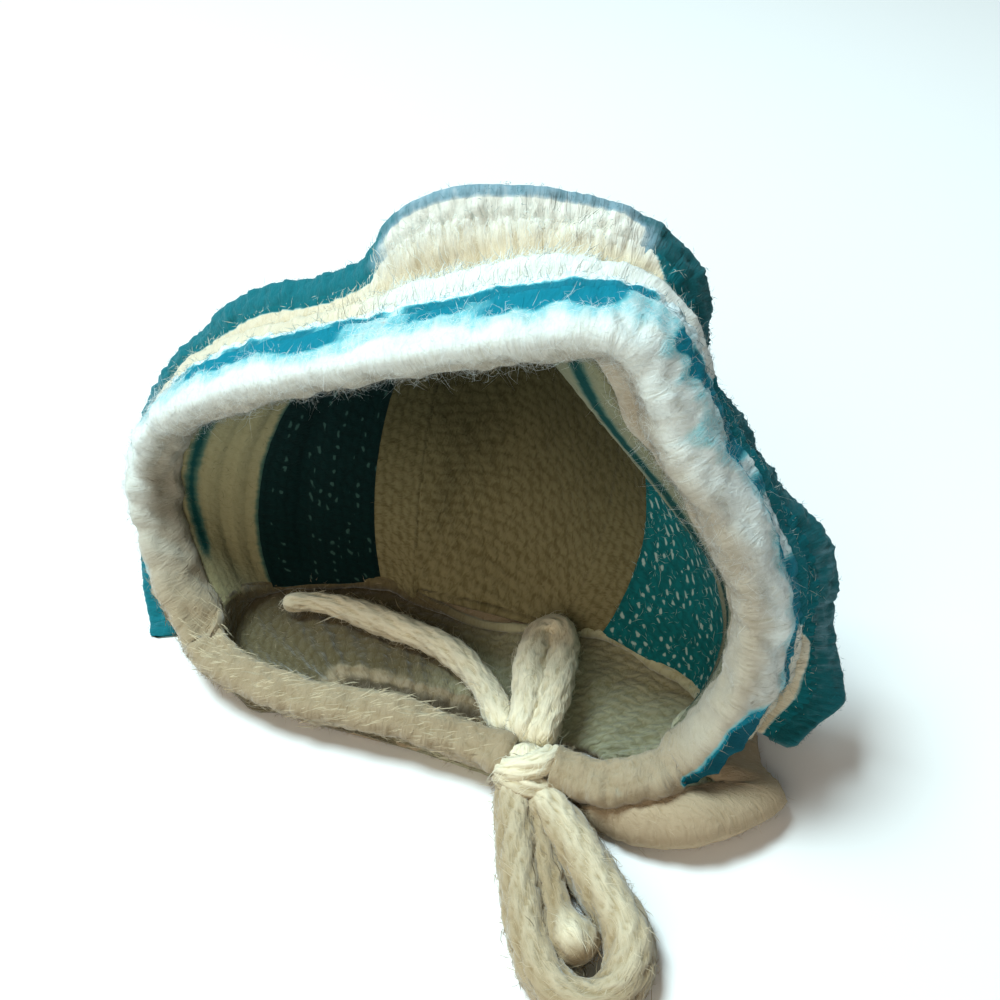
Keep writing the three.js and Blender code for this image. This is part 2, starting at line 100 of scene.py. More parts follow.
def unit(vectors: Array) -> Array:
    """Vectors of length one.

    Args:
        vectors: any array whose last axis is x, y, z.

    Returns:
        The same directions, each of length one.
    """
    return vectors / np.maximum(np.linalg.norm(vectors, axis=-1, keepdims=True), 1e-9)


def smooth(x: Array) -> Array:
    """Smooth step from 0 to 1 as x goes from 0 to 1."""
    f = np.clip(x, 0.0, 1.0)
    return f * f * (3 - 2 * f)


def mix(a: Array, b: Array, f: Array) -> Array:
    """Value between a and b at share f."""
    return a + (b - a) * f


def window(x: Array, low: float, high: float, soft: float) -> Array:
    """One between low and high, falling smoothly to zero over soft on both sides."""
    return smooth((x - low) / soft + 0.5) * smooth((high - x) / soft + 0.5)


def waves(points: Array, size: float, seed: int) -> Array:
    """Soft random height field.

    Args:
        points: places in millimetres.
        size: distance between swellings in millimetres.
        seed: which field.

    Returns:
        Heights of about -1 to 1 at the places.
    """
    rng = np.random.default_rng(seed)
    total = np.zeros(points.shape[:-1])
    for _ in range(7):
        way = unit(rng.normal(size=3)) * rng.uniform(0.7, 1.6) * 2 * math.pi / size
        total += np.sin(points @ way + rng.uniform(0, 2 * math.pi))
    return total / 4.0


def cell_noise(i: Array, j: Array, seed: int) -> Array:
    """Random number from 0 to 1 for each stitch, the same wherever it is asked for."""
    table = np.random.default_rng(seed).random((61, 67))
    return table[i.astype(int) % 61, j.astype(int) % 67]


@dataclass(frozen=True)
class Table:
    """Rows of named columns, read between the rows by a cubic."""

    columns: tuple[str, ...]
    rows: tuple[tuple[float, ...], ...]

    def read(self, x: Array) -> dict[str, Array]:
        """Every column at x.

        Args:
            x: values of the first column.

        Returns:
            The columns by name, each shaped like x.
        """
        data = np.array(self.rows, float)
        keys = data[:, 0]
        at = np.clip(x, keys[0], keys[-1])
        i = np.clip(np.searchsorted(keys, at, side="right") - 1, 0, len(keys) - 2)
        order = np.arange(len(keys))
        low, high = np.maximum(order - 1, 0), np.minimum(order + 1, len(keys) - 1)
        slope = (data[high] - data[low]) / (keys[high] - keys[low])[:, None]
        h = (keys[i + 1] - keys[i])[..., None]
        f = (at - keys[i])[..., None] / h
        out = (
            data[i] * (2 * f**3 - 3 * f**2 + 1)
            + slope[i] * h * (f**3 - 2 * f**2 + f)
            + data[i + 1] * (3 * f**2 - 2 * f**3)
            + slope[i + 1] * h * (f**3 - f**2)
        )
        return {name: out[..., k] for k, name in enumerate(self.columns)}


def through(points: Array, f: Array) -> Array:
    """Point on a smooth curve through control points.

    Args:
        points: control points, first axis the points, last axis x, y, z.
        f: share of the way, from 0 to 1, shaped like the axes between them.

    Returns:
        Places on the curve.
    """
    count = len(points)
    at = np.clip(f, 0.0, 1.0) * (count - 1)
    i = np.minimum(np.floor(at).astype(int), count - 2)
    w = (at - i)[..., None]
    ends = np.concatenate([2 * points[:1] - points[1:2], points, 2 * points[-1:] - points[-2:-1]])

    def pick(step: int) -> Array:
        """Control point that many places after the one before at."""
        index = (i + step)[None, ..., None]
        return np.take_along_axis(ends, np.broadcast_to(index, (1, *i.shape, 3)), 0)[0]

    p0, p1, p2, p3 = (pick(step) for step in range(4))
    d0, d1, d2 = (
        np.maximum(np.sqrt(np.linalg.norm(b - a, axis=-1, keepdims=True)), 1e-4)
        for a, b in ((p0, p1), (p1, p2), (p2, p3))
    )
    t1 = ((p1 - p0) / d0 - (p2 - p0) / (d0 + d1) + (p2 - p1) / d1) * d1
    t2 = ((p2 - p1) / d1 - (p3 - p1) / (d1 + d2) + (p3 - p2) / d2) * d1
    return p1 + t1 * w + (3 * (p2 - p1) - 2 * t1 - t2) * w**2 + (2 * (p1 - p2) + t1 + t2) * w**3


def route(points: Array, f: Array) -> Array:
    """Place at share f of a smooth route through points, which is a plain list of them."""
    return through(np.broadcast_to(points[:, None, :], (len(points), f.size, 3)), f.ravel())


@dataclass(frozen=True)
class HoodShape:
    """Arches of the hood from the face edge to the seam, one row for each arch."""

    sections: Table = Table(
        ("depth", "y", "lean", "bow", "cx", "left", "right", "apex", "cz", "up", "down",
         "square_left", "square_right", "span_left", "span_right"),
        (
            (0, -57, 35, 18.5, 0, 99.5, 72, 30, 43.5, 71.5, 49.6, 2.35, 4.6, 133, 122),
            (12, -44.5, 31, 19, -1, 91.3, 66.5, 17, 38.4, 70.4, 42.4, 1.9, 4.4, 126, 118),
            (35, -23, 29, 17, -1, 73, 63.5, 1, 25, 74, 46, 1.21, 3.8, 112, 108),
            (49, -11.3, 33, 13.6, -4, 54, 55.5, 0, 28, 71, 49, 1.04, 2.7, 113, 111),
            (63, -3.5, 41.5, 8, -11, 31.5, 47, 2, 38, 62, 54, 1, 1.5, 121, 119),
            (76, -1.5, 52.5, 3.4, -18, 11.5, 42.5, 3, 46.5, 54.5, 64, 0.98, 0.98, 128, 128),
        ),
    )

    def inner(self, depth: Array, t: Array) -> Array:
        """Inner face of the hood.

        Args:
            depth: fabric back from the face edge.
            t: from the left foot, -1, over the crown to the right foot, 1.

        Returns:
            Places in millimetres.
        """
        depth, t = np.broadcast_arrays(depth, t)
        row = self.sections.read(depth)
        left = t < 0
        angle = np.radians(np.where(left, row["span_left"], row["span_right"]) * t)
        u, v = np.sin(angle), np.cos(angle)
        power = np.where(v > 0, np.where(left, row["square_left"], row["square_right"]), 0.95)
        side = 0.45 * u + 0.55 * np.sign(u) * np.abs(u) ** power
        x = row["cx"] + np.where(left, row["left"], row["right"]) * side
        x = x + row["apex"] * np.maximum(v, 0) ** 1.6
        z = row["cz"] + np.where(v > 0, row["up"], row["down"]) * v
        y = row["y"] + row["lean"] * z / 110 + row["bow"] * (x / 80) ** 2
        return np.stack([x, y, z], -1)

    def middle(self, depth: Array, t: Array) -> Array:
        """Middle of the hood's wall at the same coordinates as its inner face.

        Args:
            depth: fabric back from the face edge.
            t: place round the arch.

        Returns:
            Places in millimetres.
        """
        along = self.inner(depth, t + 0.02) - self.inner(depth, t - 0.02)
        ahead, behind = np.minimum(depth + 2, HOOD_DEPTH), np.maximum(depth - 2, 0.0)
        deeper = self.inner(ahead, t) - self.inner(behind, t)
        return self.inner(depth, t) + unit(np.cross(along, deeper)) * WALL / 2


HOOD = HoodShape()


@dataclass(frozen=True)
class BrimShape:
    """Cuff and frill along the face edge, and the rolled hem that runs on to the knot."""

    stations: Table = Table(
        ("t", "roll", "stripe", "valley", "out", "back"),
        (
            (-1, 4.2, 5.5, 6, 25, 20), (-0.84, 4.2, 6, 7, 17.5, 20), (-0.66, 4.2, 6, 7.5, 14.5, 21),
            (-0.52, 4.2, 6.2, 8.5, 15, 24), (-0.43, 4.2, 6.6, 9, 19.5, 25), (-0.35, 4, 6.6, 8.5, 17.5, 27),
            (-0.305, 4, 6.7, 9, 19.5, 26), (-0.26, 4, 7, 10.8, 28, 22.6), (-0.2, 4.1, 7.2, 12.2, 31, 22),
            (-0.1, 4.3, 8, 12.4, 26.4, 24),
            (-0.02, 4.6, 7, 9.5, 21, 26), (0.08, 5, 6.6, 7, 13, 29), (0.2, 5.3, 6.6, 6.4, 4.5, 31),
            (0.32, 5.4, 6.6, 6, 2, 32), (0.44, 5.2, 6.2, 6.2, 3.5, 31), (0.57, 5, 5.8, 6.2, 8, 28.5),
            (0.72, 5, 6, 6.8, 15, 26), (0.86, 4.9, 6.2, 7.4, 22, 23), (1, 4.7, 6.2, 8, 26, 19),
        ),
    )
    hem_left: Route = (
        (19.6, -48.6, 9.2), (4, -46.4, 9.2), (-14, -46.4, 9.4), (-36, -48.2, 9.4), (-55, -47, 9.3),
        (-69, -42, 9.8),
    )
    hem_right: Route = (
        (57, -45.4, 15.4), (51, -49.2, 13.4), (43, -50.4, 11.8), (32.2, -48.4, 10),
    )

    def line(self, q: Array) -> Array:
        """Centre of the fold at q: -2 to -1 left hem, -1 to 1 face edge, 1 to 2 right hem.

        Args:
            q: place along the brim.

        Returns:
            Places in millimetres.
        """
        foot_left = HOOD.inner(np.zeros(1), np.full(1, -1.0))
        foot_right = HOOD.inner(np.zeros(1), np.full(1, 1.0))
        left = route(np.concatenate([np.array(self.hem_left, float), foot_left]), q + 2)
        right = route(np.concatenate([foot_right, np.array(self.hem_right, float)]), q - 1)
        edge = HOOD.inner(np.zeros_like(q), np.clip(q, -1, 1)).reshape(-1, 3)
        flat = q.ravel()[:, None]
        return np.where(flat < -1, left, np.where(flat > 1, right, edge)).reshape(*q.shape, 3)

    def profile(self, q: Array) -> Array:
        """Control points across the brim.

        Args:
            q: place along the brim.

        Returns:
            Twelve control points for each q, from the turned-in leg to the frill's edge.
        """
        centre = self.line(q)
        tangent = unit(self.line(np.minimum(q + 0.04, 2)) - self.line(np.maximum(q - 0.04, -2)))
        out = unit(np.cross(tangent, BACK))
        t = np.clip(q, -1, 1)
        row = self.stations.read(t)
        hem = smooth((np.abs(q) - 0.96) * 2.6)
        roll = mix(row["roll"], 3.7, hem)
        level = unit(np.concatenate([out[..., :2], np.maximum(out[..., 2:], -0.12)], -1))

        def place(back: Array, away: Array, flat: float = 0.0) -> Array:
            """Point at a distance back from the fold and away from its centre line."""
            way = unit(mix(out, level, flat))
            return centre + BACK * np.asarray(back)[..., None] + way * np.asarray(away)[..., None]

        zero = np.zeros_like(q)
        leg_end = mix(HOOD.middle(zero + CUFF_DEPTH, t), place(zero + 3.8, -roll), hem[..., None])
        rise = np.hypot(row["out"] - row["valley"], row["back"] - VALLEY_BACK)
        white = 1 - EDGE_WIDTH / np.maximum(rise, 14)
        shares = [0.35 * white, 0.7 * white, white, zero + 1]
        blunt = 1 - 0.3 * smooth((t - 0.84) / 0.11)
        reach = row["out"] + 1.6 * np.sin((t - 0.36) * 2 * math.pi / 0.22) * window(t, 0.3, 0.88, 0.1)
        frill = [
            place(mix(VALLEY_BACK, row["back"], f**1.25), mix(row["valley"] - 0.6, reach, f**0.92), 1.0)
            for f in (share * blunt for share in shares)
        ]
        stripe = mix(row["stripe"], roll + 0.2, hem)
        return np.stack([
            leg_end,
            place(mix(3.0, 0.6, hem), -roll),
            place(-roll, zero),
            place(zero + 0.5, roll),
            place(mix(STRIPE_BACK[0], 4.5, hem), stripe, 0.3),
            place(zero + STRIPE_BACK[1], mix(row["stripe"], row["valley"], 0.35) + 0.6, 0.6),
            place(zero + 15.5, row["valley"] + 1.4, 1.0),
            place(zero + VALLEY_BACK, row["valley"] - 0.6, 1.0),
            *frill,
        ])

    def middle(self, span: tuple[float, float], part: tuple[float, float]) -> Middle:
        """Middle surface of one part of the brim.

        Args:
            span: first and last place along the brim.
            part: first and last control point across it.

        Returns:
            A function from u and v, both 0 to 1, to places in millimetres.
        """
        def at(u: Array, v: Array) -> Array:
            """Place at u along the brim and v across it."""
            return through(self.profile(mix(*span, u)), mix(*part, v) / ACROSS_BRIM)

        return at


BRIM = BrimShape()


@dataclass(frozen=True)
class NeckShape:
    """Neck band, folded under and drawn together. Each row is one cross-section."""

    free: tuple[tuple[float, ...], ...] = (
        (0, 16, -46.4, 2.2, 16, -47.4, 1.4, 16.5, -40.5),
        (1, 2, -45.6, 2.2, 2, -46.6, 1.4, 2, -39.2),
        (2, -20, -45.6, 1.9, -20, -46.8, 1.4, -16, -38.6),
        (3, -42, -46, 2, -42, -47.2, 1.4, -27, -38.4),
        (4, -59, -43, 1.8, -61, -44, 1.4, -32, -37.6),
        (10, -6, -1.5, 4.6, -6, 8.5, 2.8, 3, -32.4),
        (16, 69.6, -37, 7, 84, -36, 6.4, 42.5, -36.6),
        (17, 60, -46, 7.6, 72.5, -50.5, 8, 42, -38.6),
        (18, 52, -49.6, 5.6, 58, -56, 6, 40, -39.8),
        (19, 44, -50.6, 4, 46, -54.2, 3, 38, -40.8),
        (20, 37.4, -49, 3, 38.4, -51, 1.8, 36.5, -41.4),
    )
    feet: tuple[tuple[float, ...], ...] = (
        (5, -1, 12, -72, -24, 3, -34, -36.6),
        (6, -1, 35, -70, -3, 3.4, -31, -35.2),
        (7, -1, 49, -57, 4, 3.4, -24, -34),
        (8, -1, 63, -40, 9, 3.2, -14, -33),
        (9, -1, 76, -28, 9, 3, -7, -32.6),
        (11, 1, 76, 18, 9, 3, 13, -32.2),
        (12, 1, 63, 34, 9, 3.2, 23, -31.8),
        (13, 1, 49, 52, 4, 3.6, 33, -31.6),
        (14, 1, 35, 70, -5, 3.4, 39, -32.6),
        (15, 1, 12, 77, -22, 2.8, 42, -34.6),
    )

    def table(self) -> Table:
        """Start, next, widest place and inner edge of every cross-section, in order.

        Returns:
            The table that middle reads between the cross-sections.
        """
        rows = []
        for i, sx, sy, sz, wx, wy, wz, ix, iy in self.free:
            start, wide = np.array([sx, sy, sz]), np.array([wx, wy, wz])
            rows.append((i, *start, *(start + unit(wide - start) * 2.2), wx, wy, wz, ix, iy))
        for i, side, depth, wx, wy, wz, ix, iy in self.feet:
            foot = HOOD.middle(np.array(float(depth)), np.array(float(side)))
            above = HOOD.middle(np.array(float(depth)), np.array(side * 0.96))
            down = unit(foot - above)
            start = foot + down * (GAP + 0.4)
            rows.append((i, *start, *(start + down * 2.2), wx, wy, wz, ix, iy))
        columns = ("i", "sx", "sy", "sz", "nx", "ny", "nz", "wx", "wy", "wz", "ix", "iy")
        return Table(columns, tuple(sorted(rows)))

    def middle(self) -> Middle:
        """Middle surface of the band.

        Returns:
            A function from u along the band and v across it to places in millimetres.
        """
        table = self.table()
        low = BAND_WALL / 2

        def at(u: Array, v: Array) -> Array:
            """Place at u along the band and v from its seam to the slit."""
            row = table.read(u * ALONG_NECK)
            start = np.stack([row["sx"], row["sy"], row["sz"]], -1)
            after = np.stack([row["nx"], row["ny"], row["nz"]], -1)
            wide = np.stack([row["wx"], row["wy"], np.maximum(row["wz"], low)], -1)
            inner = np.stack([row["ix"], row["iy"], np.full_like(row["ix"], low)], -1)
            turn, floor = mix(wide, inner, 0.14), mix(wide, inner, 0.55)
            turn[..., 2] = low
            floor[..., 2] = low
            return through(np.stack([start, after, wide, turn, floor, inner]), v)

        return at


@dataclass(frozen=True)
class PanelShape:
    """Swollen back panel inside its seam."""

    arch: float = 0.84  # share of the seam that follows the hood, the rest closes it below
    axis: Point = (0.0, 0.97, -0.24)

    def seam(self, s: Array) -> tuple[Array, Array]:
        """Seam of the panel.

        Args:
            s: share of the way round, from 0 to 1.

        Returns:
            Places on the seam, and the way the hood's wall leads into it.
        """
        t = np.clip(mix(-1.0, 1.0, s / self.arch), -1, 1)
        f = np.clip((s - self.arch) / (1 - self.arch), 0, 1)[..., None]
        rim = HOOD.middle(np.full_like(t, HOOD_DEPTH), t)
        lead = unit(rim - HOOD.middle(np.full_like(t, HOOD_DEPTH - 3), t))
        first = HOOD.middle(np.array(HOOD_DEPTH), np.array(-1.0))
        first_lead = unit(first - HOOD.middle(np.array(HOOD_DEPTH - 3), np.array(-1.0)))
        return mix(rim, first, f), unit(mix(lead, first_lead, smooth(f)))

    def middle(self, u: Array, v: Array) -> Array:
        """Place at share u round the panel and v from its seam to the middle.

        Args:
            u: share of the way round.
            v: share of the way in.

        Returns:
            Places in millimetres.
        """
        steps = np.arange(36) / 36
        centre = self.seam(steps)[0].mean(0)
        axis = np.array(self.axis)
        point, lead = self.seam(np.mod(u, 1.0))
        start = point - lead * 0.6
        shoulder = mix(point, centre, 0.55) + axis * PANEL_BULGE
        f = v[..., None]
        top = centre + axis * PANEL_BULGE
        return (
            start * (1 - f) ** 3 + (start + lead * 6) * 3 * f * (1 - f) ** 2
            + shoulder * 3 * f**2 * (1 - f) + top * f**3
        )


def purl_height(a: Array, b: Array, seed: int) -> Array:
    """Height of the purl bumps.

    Args:
        a: stitches along the row.
        b: rows.
        seed: which knitting.

    Returns:
        Height from 0 between the yarns to 1 on top of them.
    """
    best = np.zeros(np.broadcast(a, b).shape)
    for shift, size, bend in ((0.0, 1.0, 0.28), (0.5, 0.86, -0.28)):
        i, j = np.round(a - shift), np.round(b - shift)
        loose = cell_noise(i, j, seed) - 0.5
        x = a - shift - i + 0.14 * loose
        y = b - shift - j + 0.16 * (cell_noise(j, i, seed + 1) - 0.5) + bend * (2 * x) ** 2 * 0.5
        bump = np.sqrt(np.maximum(1 - (x / 0.5) ** 2 - (y / 0.36) ** 2, 0))
        best = np.maximum(best, bump * (size + 0.25 * loose))
    return best


def knit_height(a: Array, b: Array, seed: int) -> Array:
    """Height of the slanted legs of knit stitches.

    Args:
        a: stitches along the row.
        b: rows.
        seed: which knitting.

    Returns:
        Height from 0 between the yarns to 1 on top of them.
    """
    i = np.floor(a)
    x = a - i - 0.5
    best = np.zeros(np.broadcast(a, b).shape)
    for step in (0.0, -1.0):
        j = np.floor(b) + step
        y = b - j
        loose = cell_noise(i * 2 + (x > 0), j, seed) - 0.5
        leg = (np.abs(x) - 0.06 - 0.2 * y + 0.06 * loose) / 0.2
        ends = np.clip(1.15 - np.abs(y - 0.62) / 0.72, 0, 1)
        best = np.maximum(best, np.sqrt(np.maximum(1 - leg**2, 0)) * ends**0.6 * (1 + 0.2 * loose))
    return best


@dataclass(frozen=True)
class Face:
    """One face of a piece of knitting."""

    stitch: Stitch
    wide: float = STITCH_WIDE  # width of a stitch
    high: float = STITCH_HIGH  # height of a row
    raise_by: float = 0.9  # height of the yarn over the hollows
    seed: int = 1
    turned: bool = False  # rows run across the piece and not along it

    def height(self, along: Array, across: Array) -> Array:
        """Height of the stitches from 0 to 1.

        Args:
            along: millimetres along the piece.
            across: millimetres across it.

        Returns:
            Height at each place.
        """
        if self.turned:
            along, across = across, along
        a, b = along / self.wide, across / self.high
        if self.stitch is Stitch.PURL:
            return purl_height(a, b, self.seed)
        return knit_height(a, b, self.seed)


@dataclass
class Cloth:
    """Grid of places on a closed piece, with what its finish reads."""

    points: Array
    along: Array
    across: Array
    lift: Array
    tint: Array
    flow: Array  # way the yarn runs
    fur: Array  # how thick loose fibres grow
    painted_shading: Array  # share of the finish's low colour, a painted light and shade


def numbers(items: bpy.types.bpy_prop_collection, key: str, width: int = 1, kind: type = float) -> Array:
    """One property of all items of a mesh.

    Args:
        items: vertices, loops, polygons or the values of an attribute.
        key: name of the property.
        width: numbers in each.
        kind: type of the numbers.

    Returns:
        The numbers, one row for each item where each has more than one.
    """
    values = np.empty(len(items) * width, kind)
    items.foreach_get(key, values)
    return values if width == 1 else values.reshape(-1, width)


def note(mesh: bpy.types.Mesh, key: str, values: Array) -> None:
    """Writes a number for each vertex of a mesh, for the finishes to read."""
    mesh.attributes.new(key, "FLOAT", "POINT").data.foreach_set("value", values.astype(np.float32))


def put(name: str, data: bpy.types.ID) -> Object:
    """New object of that data in the scene.

    Args:
        name: name of the object.
        data: mesh, camera or lamp.

    Returns:
        The object.
    """
    made = bpy.data.objects.new(name, data)
    bpy.context.scene.collection.objects.link(made)
    return made


def object_from(name: str, cloth: Cloth) -> Object:
    """Closed mesh object whose grid of vertices lies on the places of a cloth.

    Args:
        name: name of the piece.
        cloth: places and attributes, first axis along the piece.

    Returns:
        The object, in metres in the row frame.
    """
    rows, columns = cloth.points.shape[0] - 1, cloth.points.shape[1] - 1
    bm = bmesh.new()
    bmesh.ops.create_grid(bm, x_segments=rows, y_segments=columns, size=0.5)
    mesh = bpy.data.meshes.new(name)
    bm.to_mesh(mesh)
    bm.free()
    flat = numbers(mesh.vertices, "co", 3, np.float32)
    i = np.rint((flat[:, 0] + 0.5) * rows).astype(int)
    j = np.rint((flat[:, 1] + 0.5) * columns).astype(int)
    places = (cloth.points[i, j] - ORIGIN) * METRES
    mesh.vertices.foreach_set("co", places.astype(np.float32).ravel())
    for key in ("lift", "tint", "fur", "painted_shading"):
        note(mesh, key, getattr(cloth, key)[i, j])
    flow = mesh.attributes.new("flow", "FLOAT_VECTOR", "POINT")
    flow.data.foreach_set("vector", cloth.flow[i, j].astype(np.float32).ravel())
    corner = numbers(mesh.loops, "vertex_index", kind=np.int32)
    uv = np.stack([cloth.along[i, j], cloth.across[i, j]], -1)[corner] * 0.1
    layer = mesh.uv_layers.new(name="UVMap") if not mesh.uv_layers else mesh.uv_layers[0]
    layer.data.foreach_set("uv", uv.astype(np.float32).ravel())
    bm = bmesh.new()
    bm.from_mesh(mesh)
    bmesh.ops.remove_doubles(bm, verts=bm.verts, dist=2e-6)
    bmesh.ops.dissolve_degenerate(bm, dist=1e-6, edges=bm.edges)
    bmesh.ops.recalc_face_normals(bm, faces=bm.faces)
    for face in bm.faces:
        face.smooth = True
    bm.to_mesh(mesh)
    bm.free()
    return put(name, mesh)


def shading_near_table(u: Array, v: Array, place: Array) -> Array:
    """Share of the finish's low colour, a painted light and shade: one at the table and none at the crown.
    """
    return 1 - smooth((place[..., 2] - 12) / 50)


@dataclass
class Shell:
    """Closed shell of knitting around a middle surface."""

    middle: Middle
    steps: tuple[int, int]
    wall: float = WALL
    outer: Face = Face(Stitch.KNIT)
    inner: Face = Face(Stitch.PURL)
    tint: Spread = lambda u, v, side: np.zeros_like(u)
    swell: Spread = lambda u, v, points: np.zeros_like(u)
    along_scale: float | None = None  # stitches are counted on this length where it is given
    across_from: float = 0.0
    floor: float | None = None
    closed: bool = False  # runs all the way round, and ends in a pole
    nap: float = 0.25  # height of the clumps that brushing leaves
    fur: tuple[float, float] = (1.0, 0.15)  # how thick loose fibres grow on the outer and the inner face
    relief: Callable[[Array, Array], Array] = lambda u, v: np.ones_like(u)  # how sharply stitches stand out
    # share of the finish's low colour at each place, a painted light and shade
    painted_shading: Spread = shading_near_table
    outside: float | None = None  # share of the finish's low colour on the outer face, where it has one; for the lining it paints its lit, paler outside
    thin_start: float = 1.0  # share of the wall where the piece begins
    drawn: tuple[float, float] | None = None  # share of the finish's own stitches on the two faces
    slope: float = 14.0  # how far the rows of a closed piece lean, in degrees
    edge_steps: int = 3

    def cloth(self) -> Cloth:
        """Places of the whole shell, both faces and the edges.

        Returns:
            The cloth that object_from makes a mesh of.
        """
        nu, nv = self.steps
        u, v = np.meshgrid(np.linspace(0, 1, nu + 1), np.linspace(0, 1, nv + 1), indexing="ij")
        tiny = 2e-3
        points = self.middle(u, v)
        if self.closed:
            points = self.rounded_rings(points)
            du = np.roll(points[:-1], -1, 0) - np.roll(points[:-1], 1, 0)
            du = np.concatenate([du, du[:1]])
            dv = np.gradient(points, axis=1)
        else:
            du = self.middle(u + tiny, v) - self.middle(u - tiny, v)
            dv = self.middle(u, v + tiny) - self.middle(u, v - tiny)
        normal = unit(np.cross(du, dv))
        if self.closed:
            normal[:, -1] = unit(normal[:-1, -3].mean(0))
        points = points + normal * self.swell(u, v, points)[..., None]
        step_u = np.linalg.norm(np.diff(points, axis=0), axis=-1).mean(1)
        step_v = np.linalg.norm(np.diff(points, axis=1), axis=-1).mean(0)
        length = np.concatenate([[0], np.cumsum(step_u)])
        if self.along_scale is not None:
            length = np.linspace(0, self.along_scale, nu + 1)
        depth = np.concatenate([[0], np.cumsum(step_v)]) + self.across_from
        along, across = np.broadcast_to(length[:, None], u.shape), np.broadcast_to(depth[None], u.shape)
        if self.closed:
            turn = math.radians(self.slope)
            along = points[..., 0] * math.cos(turn) - points[..., 2] * math.sin(turn) + 200
            across = points[..., 0] * math.sin(turn) + points[..., 2] * math.cos(turn) + 200
        sheets = []
        for side, face in ((1, self.outer), (-1, self.inner)):
            lift = face.height(along, across)
            clumps = waves(points, 4.5, face.seed + 70) + 0.7 * waves(points, 2.4, face.seed + 71)
            sharp = self.relief(u, v)
            wall = self.wall / 2 * mix(self.thin_start, 1.0, smooth(v * 2))
            out = wall + (lift - 0.6) * face.raise_by * sharp + clumps * self.nap * smooth(v * 8 + 0.2)
            lift = mix(0.7, lift, sharp)
            if self.drawn is not None:
                lift = np.full_like(lift, self.drawn[0 if side > 0 else 1])
            place = points + normal * (side * out)[..., None]
            if self.floor is not None:
                place[..., 2] = np.maximum(place[..., 2], self.floor)
            sheets.append((place, lift, self.tint(u, v, np.full_like(u, side))))
        return self.joined(points, unit(du), unit(dv), sheets, along, across)

    @staticmethod
    def rounded_rings(points: Array) -> Array:
        """Rings of a closed piece, each evened out along itself, more so towards the middle.

        Args:
            points: places, first axis round the piece and second axis towards its middle.

        Returns:
            The places without the creases that run in from the corners of the seam.
        """
        ring = points[:-1].copy()
        count, rows = ring.shape[:2]
        for j in range(1, rows):
            reach = int(min(j / rows * 1.6, 1.0) * count / 6)
            if reach:
                near = [np.roll(ring[:, j], k, 0) for k in range(-reach, reach + 1)]
                ring[:, j] = np.mean(near, 0)
        return np.concatenate([ring, ring[:1]])

    def joined(
        self, points: Array, du: Array, dv: Array, sheets: list, along: Array, across: Array
    ) -> Cloth:
        """Both faces with rounded edges between them.

        Args:
            points: middle of the wall.
            du: direction along the piece.
            dv: direction across the piece.
            sheets: place, lift and tint of the outer and of the inner face.
            along: millimetres along the piece.
            across: millimetres across it.

        Returns:
            One cloth whose last column meets its first.
        """
        (top, top_lift, top_tint), (low, low_lift, low_tint) = sheets
        columns = [(top[:, j], top_lift[:, j], top_tint[:, j], j, 0) for j in range(top.shape[1])]

        def rounded(j: int, way: float, first: Array, second: Array) -> list:
            """Columns that turn round the edge at column j, from one face to the other.

            Args:
                j: column of the edge.
                way: 1 at the end of the piece and -1 at its start.
                first: places of the face it leaves.
                second: places of the face it comes to.

            Returns:
                The columns.
            """
            found = []
            for k in range(1, self.edge_steps + 1):
                angle = math.pi * k / (self.edge_steps + 1)
                share = (1 - math.cos(angle)) / 2
                place = mix(first, second, share) + dv[:, j] * way * self.wall * 0.35 * math.sin(angle)
                if self.floor is not None:
                    place[..., 2] = np.maximum(place[..., 2], self.floor)
                lift = mix(top_lift[:, j], low_lift[:, j], share)
                found.append((place, lift, mix(top_tint[:, j], low_tint[:, j], share), j, 0.5))
            return found

        if not self.closed:
            columns += rounded(-1, 1.0, top[:, -1], low[:, -1])
        columns += [(low[:, j], low_lift[:, j], low_tint[:, j], j, 1) for j in reversed(range(low.shape[1]))]
        columns += rounded(0, -1.0, low[:, 0], top[:, 0])
        columns.append(columns[0])
        if self.closed:
            columns = columns[top.shape[1]:-1] + columns[:top.shape[1]]
        place = np.stack([c[0] for c in columns], 1)
        lift = np.stack([c[1] for c in columns], 1)
        tint = np.stack([c[2] for c in columns], 1)
        index = np.array([c[3] for c in columns])
        middle, a, b, flow = points[:, index], along[:, index], across[:, index], du[:, index]
        u, v = np.linspace(0, 1, len(place))[:, None], index[None] % len(dv[0]) / self.steps[1]
        # Share of the finish's low colour at each place, a painted light and shade.
        painted_shading = self.painted_shading(u, v, place)
        if self.outside is not None:
            painted_shading = np.where(np.array([c[4] for c in columns]) == 0, self.outside, painted_shading)
        if not self.closed:
            first = middle[:1] - du[:1, index] * self.wall * 0.3
            final = middle[-1:] + du[-1:, index] * self.wall * 0.3
            place = np.concatenate([first, place, final])
            if self.floor is not None:
                place[..., 2] = np.maximum(place[..., 2], self.floor)
            lift, tint, a, b, flow, painted_shading = (
                np.concatenate([x[:1], x, x[-1:]]) for x in (lift, tint, a, b, flow, painted_shading)
            )
        fur = np.broadcast_to(np.array([self.fur[int(c[4])] for c in columns]), lift.shape)
        return Cloth(place, a, b, lift, tint, flow, fur, painted_shading)


